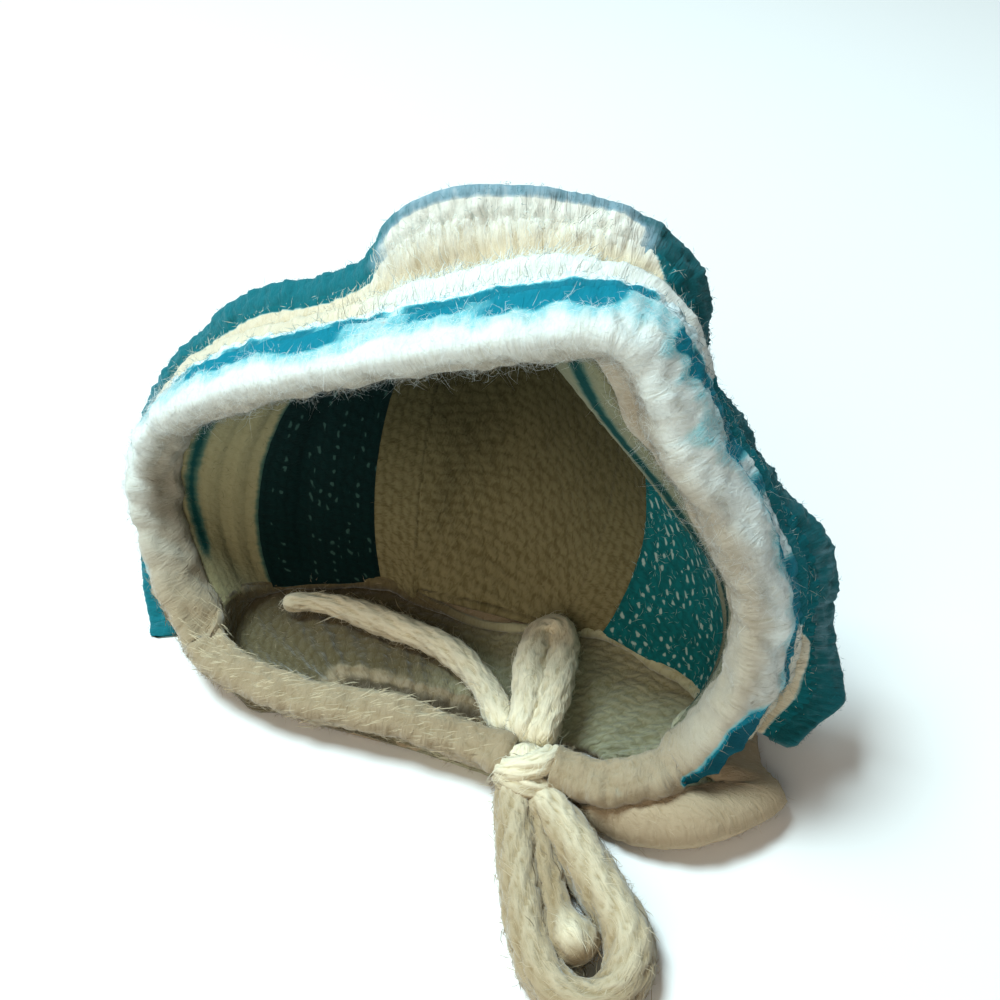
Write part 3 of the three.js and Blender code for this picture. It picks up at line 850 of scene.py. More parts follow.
@dataclass
class Nodes:
    """Small node calls for one material."""

    material: bpy.types.Material

    def add(self, kind: str, **values: object) -> bpy.types.Node:
        """New node of a kind, with values for its inputs by their names.

        Args:
            kind: node type.
            values: plain values or sockets, spaces in the names written as underscores.

        Returns:
            The node.
        """
        node = self.material.node_tree.nodes.new(kind)
        for name, value in values.items():
            self.feed(node.inputs[name.replace("_", " ")], value)
        return node

    def feed(self, socket: Socket, value: object) -> None:
        """Sets an input to a plain value or links a socket to it.

        Args:
            socket: the input.
            value: plain value, colour or output of another node.
        """
        if isinstance(value, Socket):
            self.material.node_tree.links.new(value, socket)
        elif isinstance(value, tuple) and len(socket.default_value) == 4:
            socket.default_value = (*value, 1)
        else:
            socket.default_value = value

    def math(self, operation: str, *values: object) -> Socket:
        """Result of one math operation on plain values or sockets.

        Args:
            operation: name of the operation.
            values: what it works on, in order.

        Returns:
            The result.
        """
        node = self.material.node_tree.nodes.new("ShaderNodeMath")
        node.operation = operation
        for socket, value in zip(node.inputs, values):
            self.feed(socket, value)
        return node.outputs[0]

    def attribute(self, name: str) -> Socket:
        """The piece's own attribute of that name.

        Args:
            name: the attribute.

        Returns:
            Its value.
        """
        node = self.add("ShaderNodeAttribute")
        node.attribute_name = name
        return node.outputs["Fac"]

    def noise(self, vector: Socket, scale: float, detail: float, swirl: float = 0.0) -> Socket:
        """Noise of that scale on a coordinate."""
        node = self.add("ShaderNodeTexNoise", Vector=vector, Scale=scale, Detail=detail, Distortion=swirl)
        return node.outputs["Fac"]

    def stretched(self, vector: Socket, by: tuple[float, float]) -> Socket:
        """Coordinate whose first two parts are multiplied.

        Args:
            vector: the coordinate.
            by: the two factors.

        Returns:
            The new coordinate.
        """
        node = self.material.node_tree.nodes.new("ShaderNodeVectorMath")
        node.operation = "MULTIPLY"
        self.feed(node.inputs[0], vector)
        node.inputs[1].default_value = (*by, 1.0)
        return node.outputs["Vector"]

    def ramp(self, value: object, low: float, high: float) -> Socket:
        """Smooth step of a value from low to high.

        Args:
            value: socket or plain value.
            low: where the step is 0.
            high: where it is 1.

        Returns:
            The step.
        """
        node = self.add("ShaderNodeMapRange", Value=value, From_Min=low, From_Max=high)
        node.interpolation_type = "SMOOTHSTEP"
        return node.outputs["Result"]

    def blend(self, factor: object, a: object, b: object, mode: str = "MIX") -> Socket:
        """Two colours, each a socket or a plain colour, mixed by a factor.

        Args:
            factor: share of the second colour.
            a: first colour.
            b: second colour.
            mode: how they are mixed.

        Returns:
            The colour.
        """
        node = self.material.node_tree.nodes.new("ShaderNodeMix")
        node.data_type = "RGBA"
        node.blend_type = mode
        for socket, value in ((0, factor), (MIX_A, a), (MIX_B, b)):
            self.feed(node.inputs[socket], value)
        return node.outputs[MIX_OUT]


@dataclass(frozen=True)
class Finish:
    """Finish of one wool, whose material is made when it is first asked for."""

    name: str
    slot: str
    yarn: Colour

    def fill(self, nodes: Nodes, shader: bpy.types.Node) -> None:
        """Feeds the shader of a new material."""
        raise NotImplementedError

    def material(self) -> bpy.types.Material:
        """The material of this finish, made once.

        Returns:
            The material.
        """
        made = bpy.data.materials.get(self.name)
        if made is None:
            made = bpy.data.materials.new(self.name)
            made.use_nodes = True
            self.fill(Nodes(made), made.node_tree.nodes["Principled BSDF"])
        return made


@dataclass(frozen=True)
class WoolFinish(Finish):
    """Brushed wool: its yarn, a second yarn where tint is one, and the shade between stitches."""

    other: Colour
    halfway: Colour  # where fibres of both yarns mix
    crevice_shade: Colour = (0.76, 0.72, 0.62)  # painted shade: what is left of the colour between the strands and in the stitch hollows
    sheen: float = 0.5
    haze: Colour = (0.9, 0.94, 0.94)
    ragged: float = 0.9  # how far the second yarn's edge wanders
    grain: tuple[float, float] = (9.0, 5.0)  # strands to a centimetre along and across the piece
    stitch: tuple[float, float] | None = None  # width and height of purl stitches drawn by the finish
    flecked: bool = False  # the second yarn shows as flecks, one to a stitch
    relief: float = 0.0006  # height of the bump, in metres
    low: Colour | None = None  # painted light and shade, mixed in by the mesh's shading share: darker, yellower wool in shaded places, paler wool where more light falls
    left: Colour | None = None  # yarn of the left side, painted with the light and shade that fall there
    dim: Colour | None = None  # flecks of the left side, darker in the painted shade of the cuff

    def stitches(self, nodes: Nodes, uv: Socket, wander: Socket) -> tuple[Socket, Socket]:
        """Purl bumps laid in rows, each row half a stitch on from the last.

        Args:
            nodes: the material's nodes.
            uv: the piece's own coordinates, in centimetres.
            wander: colour noise that moves each bump a little.

        Returns:
            Height of the bumps, and a random number for each of them.
        """
        wide, high = self.stitch
        apart = nodes.add("ShaderNodeSeparateXYZ", Vector=uv)
        row = nodes.math("MULTIPLY", apart.outputs["Y"], 10 / high)
        place = nodes.math("MULTIPLY_ADD", apart.outputs["X"], 10 / wide, nodes.math("MULTIPLY", row, 0.5))
        flat = nodes.add("ShaderNodeCombineXYZ", X=place, Y=row)
        moved = nodes.add("ShaderNodeVectorMath")
        moved.operation = "MULTIPLY_ADD"
        nodes.feed(moved.inputs[0], wander)
        moved.inputs[1].default_value = (0.9, 0.9, 0.0)
        nodes.feed(moved.inputs[2], flat.outputs["Vector"])
        cells = nodes.add("ShaderNodeTexVoronoi", Scale=1.0, Randomness=0.3)
        cells.voronoi_dimensions = "2D"
        nodes.feed(cells.inputs["Vector"], moved.outputs["Vector"])
        hill = nodes.math("SUBTRACT", 1.0, nodes.ramp(cells.outputs["Distance"], -0.1, 0.75))
        return hill, nodes.add("ShaderNodeSeparateColor", Color=cells.outputs["Color"]).outputs[0]

    def yarns(self, nodes: Nodes, place: Socket, second: Socket) -> Socket:
        """Colour of the yarns, before the shade between the strands.

        Args:
            nodes: the material's nodes.
            place: object coordinates.
            second: share of the second yarn.

        Returns:
            The colour.
        """
        cloudy = nodes.ramp(nodes.noise(place, 120.0, 3.0), 0.3, 0.75)
        colour = nodes.blend(cloudy, tuple(c * 0.88 for c in self.yarn), self.yarn)
        other, side = self.other, nodes.add("ShaderNodeSeparateXYZ", Vector=place).outputs["X"]
        # Painted light and shade of the left side.
        if self.left is not None:
            colour = nodes.blend(nodes.ramp(side, -0.01, 0.02), self.left, colour)
        if self.dim is not None:
            other = nodes.blend(nodes.ramp(side, -0.01, 0.02), self.dim, self.other)
        # Painted light and shade: the low colour, by the mesh's shading share.
        if self.low is not None:
            colour = nodes.blend(nodes.attribute("painted_shading"), colour, self.low)
        if self.dim is None:
            colour = nodes.blend(nodes.ramp(second, 0.08, 0.6), colour, self.halfway)
        colour = nodes.blend(nodes.ramp(second, 0.5, 0.95), colour, other)
        # Painted shade: where the tint runs above 1.7 the colour falls to a third of the second yarn, as in
        # the neck band's drawn slit and behind the roll's right foot.
        return nodes.blend(nodes.ramp(second, 1.7, 2.6), colour, tuple(c * 0.3 for c in self.other))

    def fill(self, nodes: Nodes, shader: bpy.types.Node) -> None:
        """Feeds the shader with the yarns, the shade between the stitches and the strands.

        Args:
            nodes: the material's nodes.
            shader: its shader.
        """
        for name, value in (
            ("Roughness", 0.92), ("Specular IOR Level", 0.15), ("Sheen Weight", self.sheen),
            ("Sheen Roughness", 0.5),
        ):
            nodes.feed(shader.inputs[name], value)
        place = nodes.add("ShaderNodeTexCoord").outputs
        wander = nodes.add("ShaderNodeTexNoise", Vector=place["Object"], Scale=330.0, Detail=2.0)
        fine = nodes.noise(place["Object"], 2400.0, 2.0, 1.0)
        strands = nodes.noise(nodes.stretched(place["UV"], self.grain), 1.0, 3.0, 1.2)
        drips = nodes.noise(nodes.stretched(place["UV"], (4.0, 0.9)), 1.0, 3.0, 0.6)
        patch = nodes.math("MULTIPLY_ADD", nodes.noise(place["Object"], 240.0, 5.0, 0.8), 0.5,
                           nodes.math("MULTIPLY", drips, 0.5))
        hill, chance = nodes.attribute("lift"), None
        if self.stitch is not None:
            drawn, chance = self.stitches(nodes, place["UV"], wander.outputs["Color"])
            flat = nodes.math("MULTIPLY_ADD", hill, -0.75, 0.75)
            hill = nodes.math("MULTIPLY_ADD", drawn, hill, flat)
        tint = nodes.attribute("tint")
        if self.flecked:
            shown = nodes.ramp(nodes.math("SUBTRACT", tint, chance), -0.05, 0.1)
            tint = nodes.math("MULTIPLY", nodes.math("MULTIPLY", shown, nodes.ramp(hill, 0.3, 1.0)), 1.1)
        even = nodes.math("SUBTRACT", tint, self.ragged / 2)
        second = nodes.math("MULTIPLY_ADD", patch, self.ragged, even)
        colour = self.yarns(nodes, place["Object"], second)
        haze = nodes.blend(nodes.ramp(second, 0.4, 0.9), self.haze, self.other)
        nodes.feed(shader.inputs["Sheen Tint"], haze)
        # Painted shade in the hollows between the stitches and between the strands.
        low = nodes.math("SUBTRACT", strands, 0.3)
        top = nodes.ramp(nodes.math("MULTIPLY_ADD", hill, 0.45, low), 0.0, 0.6)
        colour = nodes.blend(1.0, colour, nodes.blend(top, self.crevice_shade, (1.0, 1.0, 1.0)), "MULTIPLY")
        nodes.feed(shader.inputs["Base Color"], colour)
        pile = nodes.math("MULTIPLY_ADD", strands, 0.9, nodes.math("MULTIPLY", fine, 0.2))
        if self.stitch is not None:
            pile = nodes.math("ADD", pile, hill)
        bump = nodes.add("ShaderNodeBump", Strength=0.8, Distance=self.relief, Height=pile)
        nodes.feed(shader.inputs["Normal"], bump.outputs["Normal"])


@dataclass(frozen=True)
class FibreFinish(Finish):
    """Single loose fibres, which the light shines through."""

    through: float = 0.25  # share of the light that passes
    low: Colour | None = None  # painted shade: darker, yellower fibres where the wool under them is painted in shade

    def fill(self, nodes: Nodes, shader: bpy.types.Node) -> None:
        """Feeds the shader with the fibre's colour and lets light through it.

        Args:
            nodes: the material's nodes.
            shader: its shader.
        """
        place = nodes.add("ShaderNodeTexCoord").outputs["Object"]
        shade = nodes.ramp(nodes.noise(place, 260.0, 3.0), 0.3, 0.7)
        colour = nodes.blend(shade, tuple(c * 0.86 for c in self.yarn), self.yarn)
        # Painted shade on the fibres, by the shading share of the wool they grow from.
        if self.low is not None:
            colour = nodes.blend(nodes.attribute("painted_shading"), colour, self.low)
        nodes.feed(shader.inputs["Base Color"], colour)
        nodes.feed(shader.inputs["Roughness"], 0.8)
        nodes.feed(shader.inputs["Specular IOR Level"], 0.1)
        glow = nodes.add("ShaderNodeBsdfTranslucent", Color=colour)
        both = nodes.add("ShaderNodeMixShader", Fac=self.through)
        nodes.feed(both.inputs[1], shader.outputs[0])
        nodes.feed(both.inputs[2], glow.outputs[0])
        nodes.feed(nodes.material.node_tree.nodes["Material Output"].inputs["Surface"], both.outputs[0])


CREAM = (0.82, 0.89, 0.87)
# Painted shade of the cream wool, for its lower and shaded parts.
CREAM_IN_SHADE = (0.35, 0.275, 0.175)
TEAL = (0.003, 0.20, 0.29)
CYAN = (0.15, 0.52, 0.60)

# Outer cream wool; its low colour is painted shade towards the table and under the roll.
OUTSIDE = WoolFinish("cream_wool_finish", "cream_wool", CREAM, TEAL, CYAN, low=CREAM_IN_SHADE, grain=(7.0, 3.0))
# Painted shade: the frill's low colour makes it darker and yellower on the frill band, on its left side and
# towards the table.
FRILL = WoolFinish(
    "frill_wool_finish", "cream_wool", (0.84, 0.88, 0.84), (0.004, 0.13, 0.16), (0.30, 0.48, 0.48),
    (0.72, 0.66, 0.54), grain=(11.0, 2.2), low=(0.70, 0.62, 0.45),
)
# Painted shade: the neck band's yarn and its outer face are darker and browner than the cream wool, and its
# left side darker still.
NECK = WoolFinish(
    "neck_wool_finish", "cream_wool", (0.53, 0.52, 0.35), (0.42, 0.33, 0.22), (0.38, 0.31, 0.2),
    (0.70, 0.66, 0.55), stitch=(4.2, 2.6), left=(0.155, 0.125, 0.062),
)
# Painted shade: the lining's yarn and the teal of its inner line are dark, as the hood's inside lies in
# shade; its low colour paints the lit, paler outside, and its left side is painted a little lighter.
LINING = WoolFinish(
    "cream_lining_finish", "cream_wool", (0.21, 0.22, 0.14), (0.003, 0.05, 0.05), (0.06, 0.12, 0.09),
    (0.84, 0.82, 0.76), sheen=0.15, stitch=(STITCH_WIDE, 2.4), relief=0.0003, left=(0.27, 0.25, 0.14),
    low=(0.66, 0.68, 0.58),
)
# Painted shade: the inner wool is near black inside the hood; its second yarn paints the lit, paler outside,
# and its low colour paints more light near the table.
INSIDE = WoolFinish(
    "inner_wool_finish", "inner_wool", (0.085, 0.078, 0.036), (0.66, 0.68, 0.58), (0.4, 0.4, 0.31),
    (0.55, 0.52, 0.41), sheen=0.08, relief=0.0005, stitch=(4.1, 2.5), low=(0.24, 0.21, 0.11),
)
STRIPE = WoolFinish(
    "stripe_wool_finish", "teal_wool", TEAL, (0.76, 0.88, 0.90), CYAN, (0.62, 0.7, 0.72), sheen=0.15,
    haze=(0.4, 0.85, 0.9), grain=(9.0, 2.5),
)
# Painted light: the left side of the frill's edge is a lighter teal, where the window lamp falls.
EDGE = WoolFinish(
    "edge_wool_finish", "teal_wool", (0.004, 0.10, 0.12), (0.82, 0.83, 0.76), (0.24, 0.38, 0.46),
    (0.55, 0.6, 0.6), sheen=0.25, haze=(0.45, 0.75, 0.8), grain=(9.0, 3.0), left=(0.004, 0.15, 0.19),
)
# Painted shade: the broad stripe's left side and its flecks there are darker, in the cuff's shade.
FLECKED = WoolFinish(
    "flecked_wool_finish", "teal_wool", (0.004, 0.16, 0.18), (0.36, 0.50, 0.48), (0.10, 0.30, 0.31),
    (0.6, 0.62, 0.62), sheen=0.05, haze=(0.4, 0.7, 0.7), ragged=0.7, stitch=(STITCH_WIDE, 2.6), flecked=True,
    relief=0.0004, left=(0.0006, 0.014, 0.014), dim=(0.03, 0.075, 0.066), low=(0.004, 0.16, 0.18),
)
# Painted shade: the cord's low colour darkens the loops lying on the table.
TIE = WoolFinish(
    "cord_wool_finish", "cord_wool", (0.94, 0.86, 0.65), CREAM, CREAM, (0.66, 0.60, 0.47), grain=(10.0, 1.8),
    low=(0.38, 0.295, 0.18),
)
# Painted shade on the fibres: the low colours darken them where the wool is painted in shade, and the inner,
# neck and hem fibres are darker than the cream wool as they lie in shade.
CREAM_FIBRE = FibreFinish("cream_fibre_finish", "cream_wool", (0.84, 0.93, 0.93), low=(0.44, 0.36, 0.25))
FRILL_FIBRE = FibreFinish("frill_fibre_finish", "cream_wool", (0.86, 0.92, 0.88), low=(0.86, 0.79, 0.62))
TEAL_FIBRE = FibreFinish("teal_fibre_finish", "teal_wool", (0.01, 0.26, 0.33))
EDGE_FIBRE = FibreFinish("edge_fibre_finish", "teal_wool", (0.012, 0.17, 0.21))
BAND_FIBRE = FibreFinish("band_fibre_finish", "teal_wool", (0.30, 0.46, 0.44))
HALO_FIBRE = FibreFinish("halo_fibre_finish", "cream_wool", (0.84, 0.90, 0.90))
INNER_FIBRE = FibreFinish("inner_fibre_finish", "inner_wool", (0.14, 0.126, 0.07))
NECK_FIBRE = FibreFinish("neck_fibre_finish", "cream_wool", (0.62, 0.52, 0.38))
HEM_FIBRE = FibreFinish("hem_fibre_finish", "cream_wool", (0.66, 0.57, 0.40))
TIE_FIBRE = FibreFinish("cord_fibre_finish", "cord_wool", (0.98, 0.92, 0.74), low=(0.54, 0.43, 0.28))


def dress(piece: Object, finish: Finish, *nodes: str) -> Object:
    """Gives a piece its finish and puts it in place of the solids that it stands for.

    Args:
        piece: the modelled piece.
        finish: its wool.
        nodes: solids that it replaces.

    Returns:
        The piece.
    """
    piece.data.materials.append(finish.material())
    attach(piece, "root")
    if nodes:
        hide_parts(*nodes)
    log.info("%s: %d faces", piece.name, len(piece.data.polygons))
    return piece


def knitted(node: str, shell: Shell, finish: WoolFinish) -> Object:
    """Piece of knitting in place of the solid of that name."""
    return dress(object_from(node + "_knit", shell.cloth()), finish, node)


def points_along(t: Array) -> Array:
    """Places on a line, 90 mm to each unit of t, for waves along a piece."""
    return np.stack([t * 90, np.zeros_like(t), np.zeros_like(t)], -1)


@dataclass
class Hood:
    """Hood in three zones, and the back panel."""

    rib: float = 2.4  # depth of the groove inside the broad stripe
    reach: float = 1.02  # how far the feet run down into the neck band
    stitches: int = 76  # stitches round the arch
    made: list[Object] = field(default_factory=list)

    def swell(self, depth: Array, t: Array, points: Array) -> Array:
        """Folds and soft dents of the hood's wall, in millimetres outwards.

        Args:
            depth: fabric back from the face edge.
            t: place round the arch.
            points: places of the wall.

        Returns:
            Height at each place.
        """
        side = window(t, -0.97, -0.12, 0.12)
        groove = self.rib * np.exp(-(((depth - 45.5) / 2.6) ** 2)) * side
        ribs = 0.5 * np.sin((depth - 22) * 2 * math.pi / 8) * window(depth, 20, 34, 5) * side
        dents = 0.7 * waves(points, 26, 4) * window(depth, 6, 72, 8)
        return groove + ribs + dents

    def flecks(self, depth: Array, t: Array) -> Array:
        """How many stitches of the broad stripe are flecked with cream.

        Args:
            depth: fabric back from the face edge.
            t: place round the arch.

        Returns:
            Share of the stitches.
        """
        columns = np.zeros_like(depth)
        for row, dense in ((40.0, 0.7), (47.6, 0.5), (52.4, 0.9), (57.6, 0.95), (61.5, 0.5)):
            columns = np.maximum(columns, dense * np.exp(-(((depth - row) / 1.3) ** 2)))
        patch = 0.62 + 0.6 * waves(np.stack([depth, t * 80, t], -1), 9, 66)
        return np.where(t < 0.1, columns, patch)

    def zone(self, name: str, depths: tuple[float, float], rows: int, finish: WoolFinish) -> None:
        """Builds one zone of the hood between two depths.

        Args:
            name: node that it replaces.
            depths: first and last depth.
            rows: steps between them.
            finish: its wool.
        """
        def spot(u: Array, v: Array) -> tuple[Array, Array]:
            """Depth and place round the arch."""
            return mix(*depths, v), mix(-self.reach, self.reach, u)

        def at(u: Array, v: Array) -> Array:
            """Middle of the wall."""
            return HOOD.middle(*spot(u, v))

        def swell(u: Array, v: Array, points: Array) -> Array:
            """Folds at the zone's own coordinates."""
            return self.swell(*spot(u, v), points)

        def tint(u: Array, v: Array, side: Array) -> Array:
            """Second yarn: flecks, the paler wool outside, which is painted light, or the thin line and edge
            inside the cuff.
            """
            depth, t = spot(u, v)
            if finish is FLECKED:
                return np.where(side < 0, self.flecks(depth, t), 0.35)
            if finish is INSIDE:
                return np.where(side > 0, smooth(v * 6) * smooth((1 - v) * 6), 0.0)
            wander = 0.9 * waves(np.stack([t * 90, t, t], -1), 22, 12)
            right = smooth(t * 3)
            deeper, wide = 14.2 + 6.6 * right, 2.0 + 1.5 * right
            line = np.exp(-(((depth - deeper - wander) / wide) ** 2))
            line = line * smooth(1.3 + waves(points_along(t), 26, 5)) * mix(1.0, 1.2, right)
            stripe = smooth((depth - 32.6) / 3.4) * 0.85
            return np.where(side < 0, np.maximum(line, stripe), stripe)

        def painted_shading(u: Array, v: Array, place: Array) -> Array:
            """Painted light: lighter and yellower towards the table, on the rear's dark inside only."""
            return shading_near_table(u, v, place) * (finish is INSIDE)

        # The outer face of the lining takes its low colour whole: painted light of the lit outside.
        shell = Shell(
            at, (220, rows), painted_shading=painted_shading, outside=None if finish is INSIDE else 1.0, tint=tint, swell=swell,
            outer=Face(Stitch.KNIT, seed=3, raise_by=0.5), inner=Face(Stitch.PURL, raise_by=0.0),
            along_scale=self.stitches * STITCH_WIDE, across_from=depths[0], edge_steps=1,
            nap=0.1, fur=(0.4, 1.0), drawn=(0.8, 0.6 if finish is LINING else 1.0),
        )
        piece = knitted(name, shell, finish)
        self.made.append(piece)

    def panel(self) -> None:
        """Builds the back panel."""
        def swell(u: Array, v: Array, points: Array) -> Array:
            """Soft dents, none at the seam."""
            return 0.8 * waves(points, 30, 8) * smooth(v * 4)

        def tint(u: Array, v: Array, side: Array) -> Array:
            """Painted light: the paler, lit wool of the outside, up to the seam."""
            return np.where(side > 0, smooth(v * 9) * np.ones_like(u), 0.0)

        shell = Shell(
            PanelShape().middle, (150, 26), swell=swell, closed=True, tint=tint,
            outer=Face(Stitch.KNIT, seed=7, raise_by=0.0), inner=Face(Stitch.PURL, raise_by=0.0),
            edge_steps=1, nap=0.1, fur=(0.4, 1.0), drawn=(0.8, 1.0),
        )
        piece = knitted("back_panel", shell, INSIDE)
        self.made.append(piece)

    def build(self) -> list[Object]:
        """Builds the hood.

        Returns:
            Its pieces.
        """
        self.zone("hood_front", (CUFF_DEPTH + 0.6, BAND_DEPTH[0]), 16, LINING)
        self.zone("hood_band", BAND_DEPTH, 20, FLECKED)
        self.zone("hood_rear", (BAND_DEPTH[1], HOOD_DEPTH), 9, INSIDE)
        self.panel()
        return self.made


@dataclass
class Brim:
    """Cuff, thin stripe, frill and the frill's edge."""

    roll_puffs: tuple[float, int] = (1.2, 21)  # height of the puffs of the roll, and which puffs
    edge_puffs: tuple[float, int] = (0.9, 31)
    frill_length: float = 520.0  # ribs are counted on this length
    ribs: Face = Face(Stitch.KNIT, wide=3.7, high=9.0, raise_by=0.8, seed=17)
    made: list[Object] = field(default_factory=list)

    @staticmethod
    def swell(scale: float, seed: int) -> Spread:
        """Soft puffs of a part of the brim.

        Args:
            scale: their height in millimetres.
            seed: which puffs.

        Returns:
            The function that a shell takes.
        """
        def at(u: Array, v: Array, points: Array) -> Array:
            """Height outwards."""
            return scale * (0.6 * waves(points, 18, seed) + 0.4 * waves(points, 8, seed + 1))

        return at

    def cuff(self) -> None:
        """Builds the rolled cuff and hem."""
        def tint(u: Array, v: Array, side: Array) -> Array:
            """Teal that runs into the cream below the thin stripe, and behind the roll at its right foot,
            where the teal is darkened as painted shade.
            """
            q = mix(*CUFF_SPAN, u)
            length = smooth((q + 0.98) * 8) * smooth((1.12 - q) * 5)
            run = 0.72 + 0.07 * waves(points_along(q), 14, 64) + 0.06 * waves(points_along(q), 5, 65)
            run = run + 0.12 * smooth((q - 0.34) * 6)
            drawn = smooth(waves(points_along(q), 16, 61) * 1.6 + 0.75)
            haze = smooth((v - run) / 0.13) * (0.45 + 0.7 * drawn) * length
            mist = 0.42 * smooth((v - run + 0.16) / 0.18) * length
            # Painted shade: a tint of 7 darkens the teal patch behind the roll to a third.
            patch = window(q, 0.86, 1.04, 0.1) * window(v, 0.58, 1.2, 0.16) * 7
            return np.maximum.reduce([haze, mist, patch])

        def painted_shading(u: Array, v: Array, place: Array) -> Array:
            """Painted shade: darker and yellower towards the table and on the underside of the roll."""
            q = mix(*CUFF_SPAN, u)
            under = 0.8 * smooth((0.54 + 0.16 * smooth((q - 0.3) * 4) - v) / 0.24)
            return np.maximum(shading_near_table(u, v, place), under)

        def puffs(u: Array, v: Array, points: Array) -> Array:
            """Soft puffs, and the crease between two folds inside the right of the roll."""
            crease = np.exp(-(((v - 0.17) / 0.04) ** 2)) * window(mix(*CUFF_SPAN, u), 0.25, 0.85, 0.2)
            return self.swell(*self.roll_puffs)(u, v, points) - 1.6 * crease

        def relief(u: Array, v: Array) -> Array:
            """Stitches show on the rolled hems and are brushed over on the cuff."""
            return 0.12 + 0.38 * smooth((np.abs(mix(*CUFF_SPAN, u)) - 0.95) * 3)

        shell = Shell(
            BRIM.middle(CUFF_SPAN, (0.2, 3.97)), (500, 30), tint=tint, swell=puffs, painted_shading=painted_shading, relief=relief,
            outer=Face(Stitch.KNIT, wide=5.2, high=5.0, raise_by=0.8, seed=13, turned=True),
            inner=Face(Stitch.PURL, seed=14, raise_by=0.2), floor=0.4, nap=0.32, fur=(1.0, 0.02),
        )
        self.made.append(knitted("face_cuff", shell, OUTSIDE))

    def stripe(self) -> None:
        """Builds the thin teal stripe."""
        def tint(u: Array, v: Array, side: Array) -> Array:
            """Cream where brushing has drawn the cream yarn over the stripe."""
            t = mix(*RUFFLE_SPAN, u)
            patch = waves(points_along(t), 24, 61) + 0.7 * waves(points_along(t), 7, 62)
            left = 0.3 * smooth((-0.3 - t) * 5)
            above = smooth((v - 0.35) / 0.4) * smooth((0.4 - t) * 6)
            return 1.1 * above + 0.9 * smooth(-0.2 - patch) + left

        shell = Shell(
            BRIM.middle(RUFFLE_SPAN, (3.98, 5.02)), (420, 6), swell=self.swell(*self.roll_puffs),
            outer=Face(Stitch.KNIT, wide=4.2, high=5.4, raise_by=0.25, seed=13),
            inner=Face(Stitch.PURL, seed=14, raise_by=0.2), tint=tint, nap=0.32, fur=(1.0, 0.02),
        )
        piece = knitted("cuff_stripe", shell, STRIPE)
        self.made.append(piece)

    def ruffle(self) -> None:
        """Builds the cream frill."""
        def tint(u: Array, v: Array, side: Array) -> Array:
            """Teal haze at the stripe, and the teal edge that reaches further in at the sides."""
            t = mix(*RUFFLE_SPAN, u)
            wide = 0.16 * window(t, -0.62, -0.3, 0.1) + 0.4 * window(t, 0.04, 0.32, 0.05)
            wide = wide + 1.3 * window(t, 0.3, 0.72, 0.08) + 0.22 * smooth((t - 0.7) * 8)
            start = 0.95 - wide + 0.3 * window(t, *CROWN, 0.08) + 0.05 * waves(points_along(t), 10, 67)
            return smooth((v - start) / 0.06)

        def swell(u: Array, v: Array, points: Array) -> Array:
            """Puffs that meet those of the cuff at one side and those of the edge at the other."""
            roll, rim = self.swell(*self.roll_puffs), self.swell(*self.edge_puffs)
            return mix(roll(u, v, points), rim(u, v, points), smooth(v * 2))

        def painted_shading(u: Array, v: Array, place: Array) -> Array:
            """Painted shade: darker and yellower on the frill, less so at the roll at its foot and at its
            rim, on its left side and towards the table.
            """
            t = mix(*RUFFLE_SPAN, u)
            frill = smooth((v - 0.34) / 0.12) * (1 - 0.75 * smooth((v - 0.58) / 0.4))
            aside = np.maximum(frill, 0.85 * smooth((-0.24 - t) * 12))
            return np.maximum(aside, shading_near_table(u, v, place))

        def relief(u: Array, v: Array) -> Array:
            """Ribs stand out on the frill and are brushed over on the roll at its foot."""
            t = mix(*RUFFLE_SPAN, u)
            return 0.1 + (0.35 + 0.45 * window(t, *CROWN, 0.1)) * smooth((v - 0.34) / 0.2)

        shell = Shell(
            BRIM.middle(RUFFLE_SPAN, (5.03, 9.97)), (480, 28), tint=tint, swell=swell, painted_shading=painted_shading,
            outer=self.ribs, inner=Face(Stitch.PURL, wide=3.7, high=3.4, seed=18, raise_by=0.6),
            floor=0.4, relief=relief, fur=(1.0, 0.4), along_scale=self.frill_length,
        )
        piece = knitted("brim_ruffle", shell, FRILL)
        self.made.append(piece)

    def edge(self) -> None:
        """Builds the thick teal edge of the frill."""
        def tint(u: Array, v: Array, side: Array) -> Array:
            """Cream mist over the teal, thickest over the crown and on the frill's side."""
            t = mix(*RUFFLE_SPAN, u)
            crown = window(t, *CROWN, 0.08)
            front = np.where((side > 0) | (v < 0.12), smooth((0.86 - v) / 0.3), 0.0)
            return crown * (0.5 + 1.1 * front) + 0.25 * smooth(waves(points_along(t), 16, 68))

        def relief(u: Array, v: Array) -> Array:
            """Ribs of the frill run on into the edge over the crown."""
            crown = window(mix(*RUFFLE_SPAN, u), *CROWN, 0.1)
            return mix(0.45, 0.9, crown * smooth((0.8 - v) * 3))

        shell = Shell(
            BRIM.middle(RUFFLE_SPAN, (9.85, ACROSS_BRIM)), (480, 9), wall=EDGE_THICK, tint=tint,
            outer=self.ribs, inner=Face(Stitch.KNIT, wide=3.7, high=4.6, seed=20, raise_by=0.5), floor=0.4,
            swell=self.swell(*self.edge_puffs), edge_steps=6, nap=0.4, fur=(1.0, 1.0), relief=relief,
            along_scale=self.frill_length, thin_start=0.64,
        )
        piece = knitted("ruffle_edge", shell, EDGE)
        self.made.append(piece)

    def build(self) -> list[Object]:
        """Builds the brim.

        Returns:
            Its pieces.
        """
        self.cuff()
        self.stripe()
        self.ruffle()
        self.edge()
        return self.made


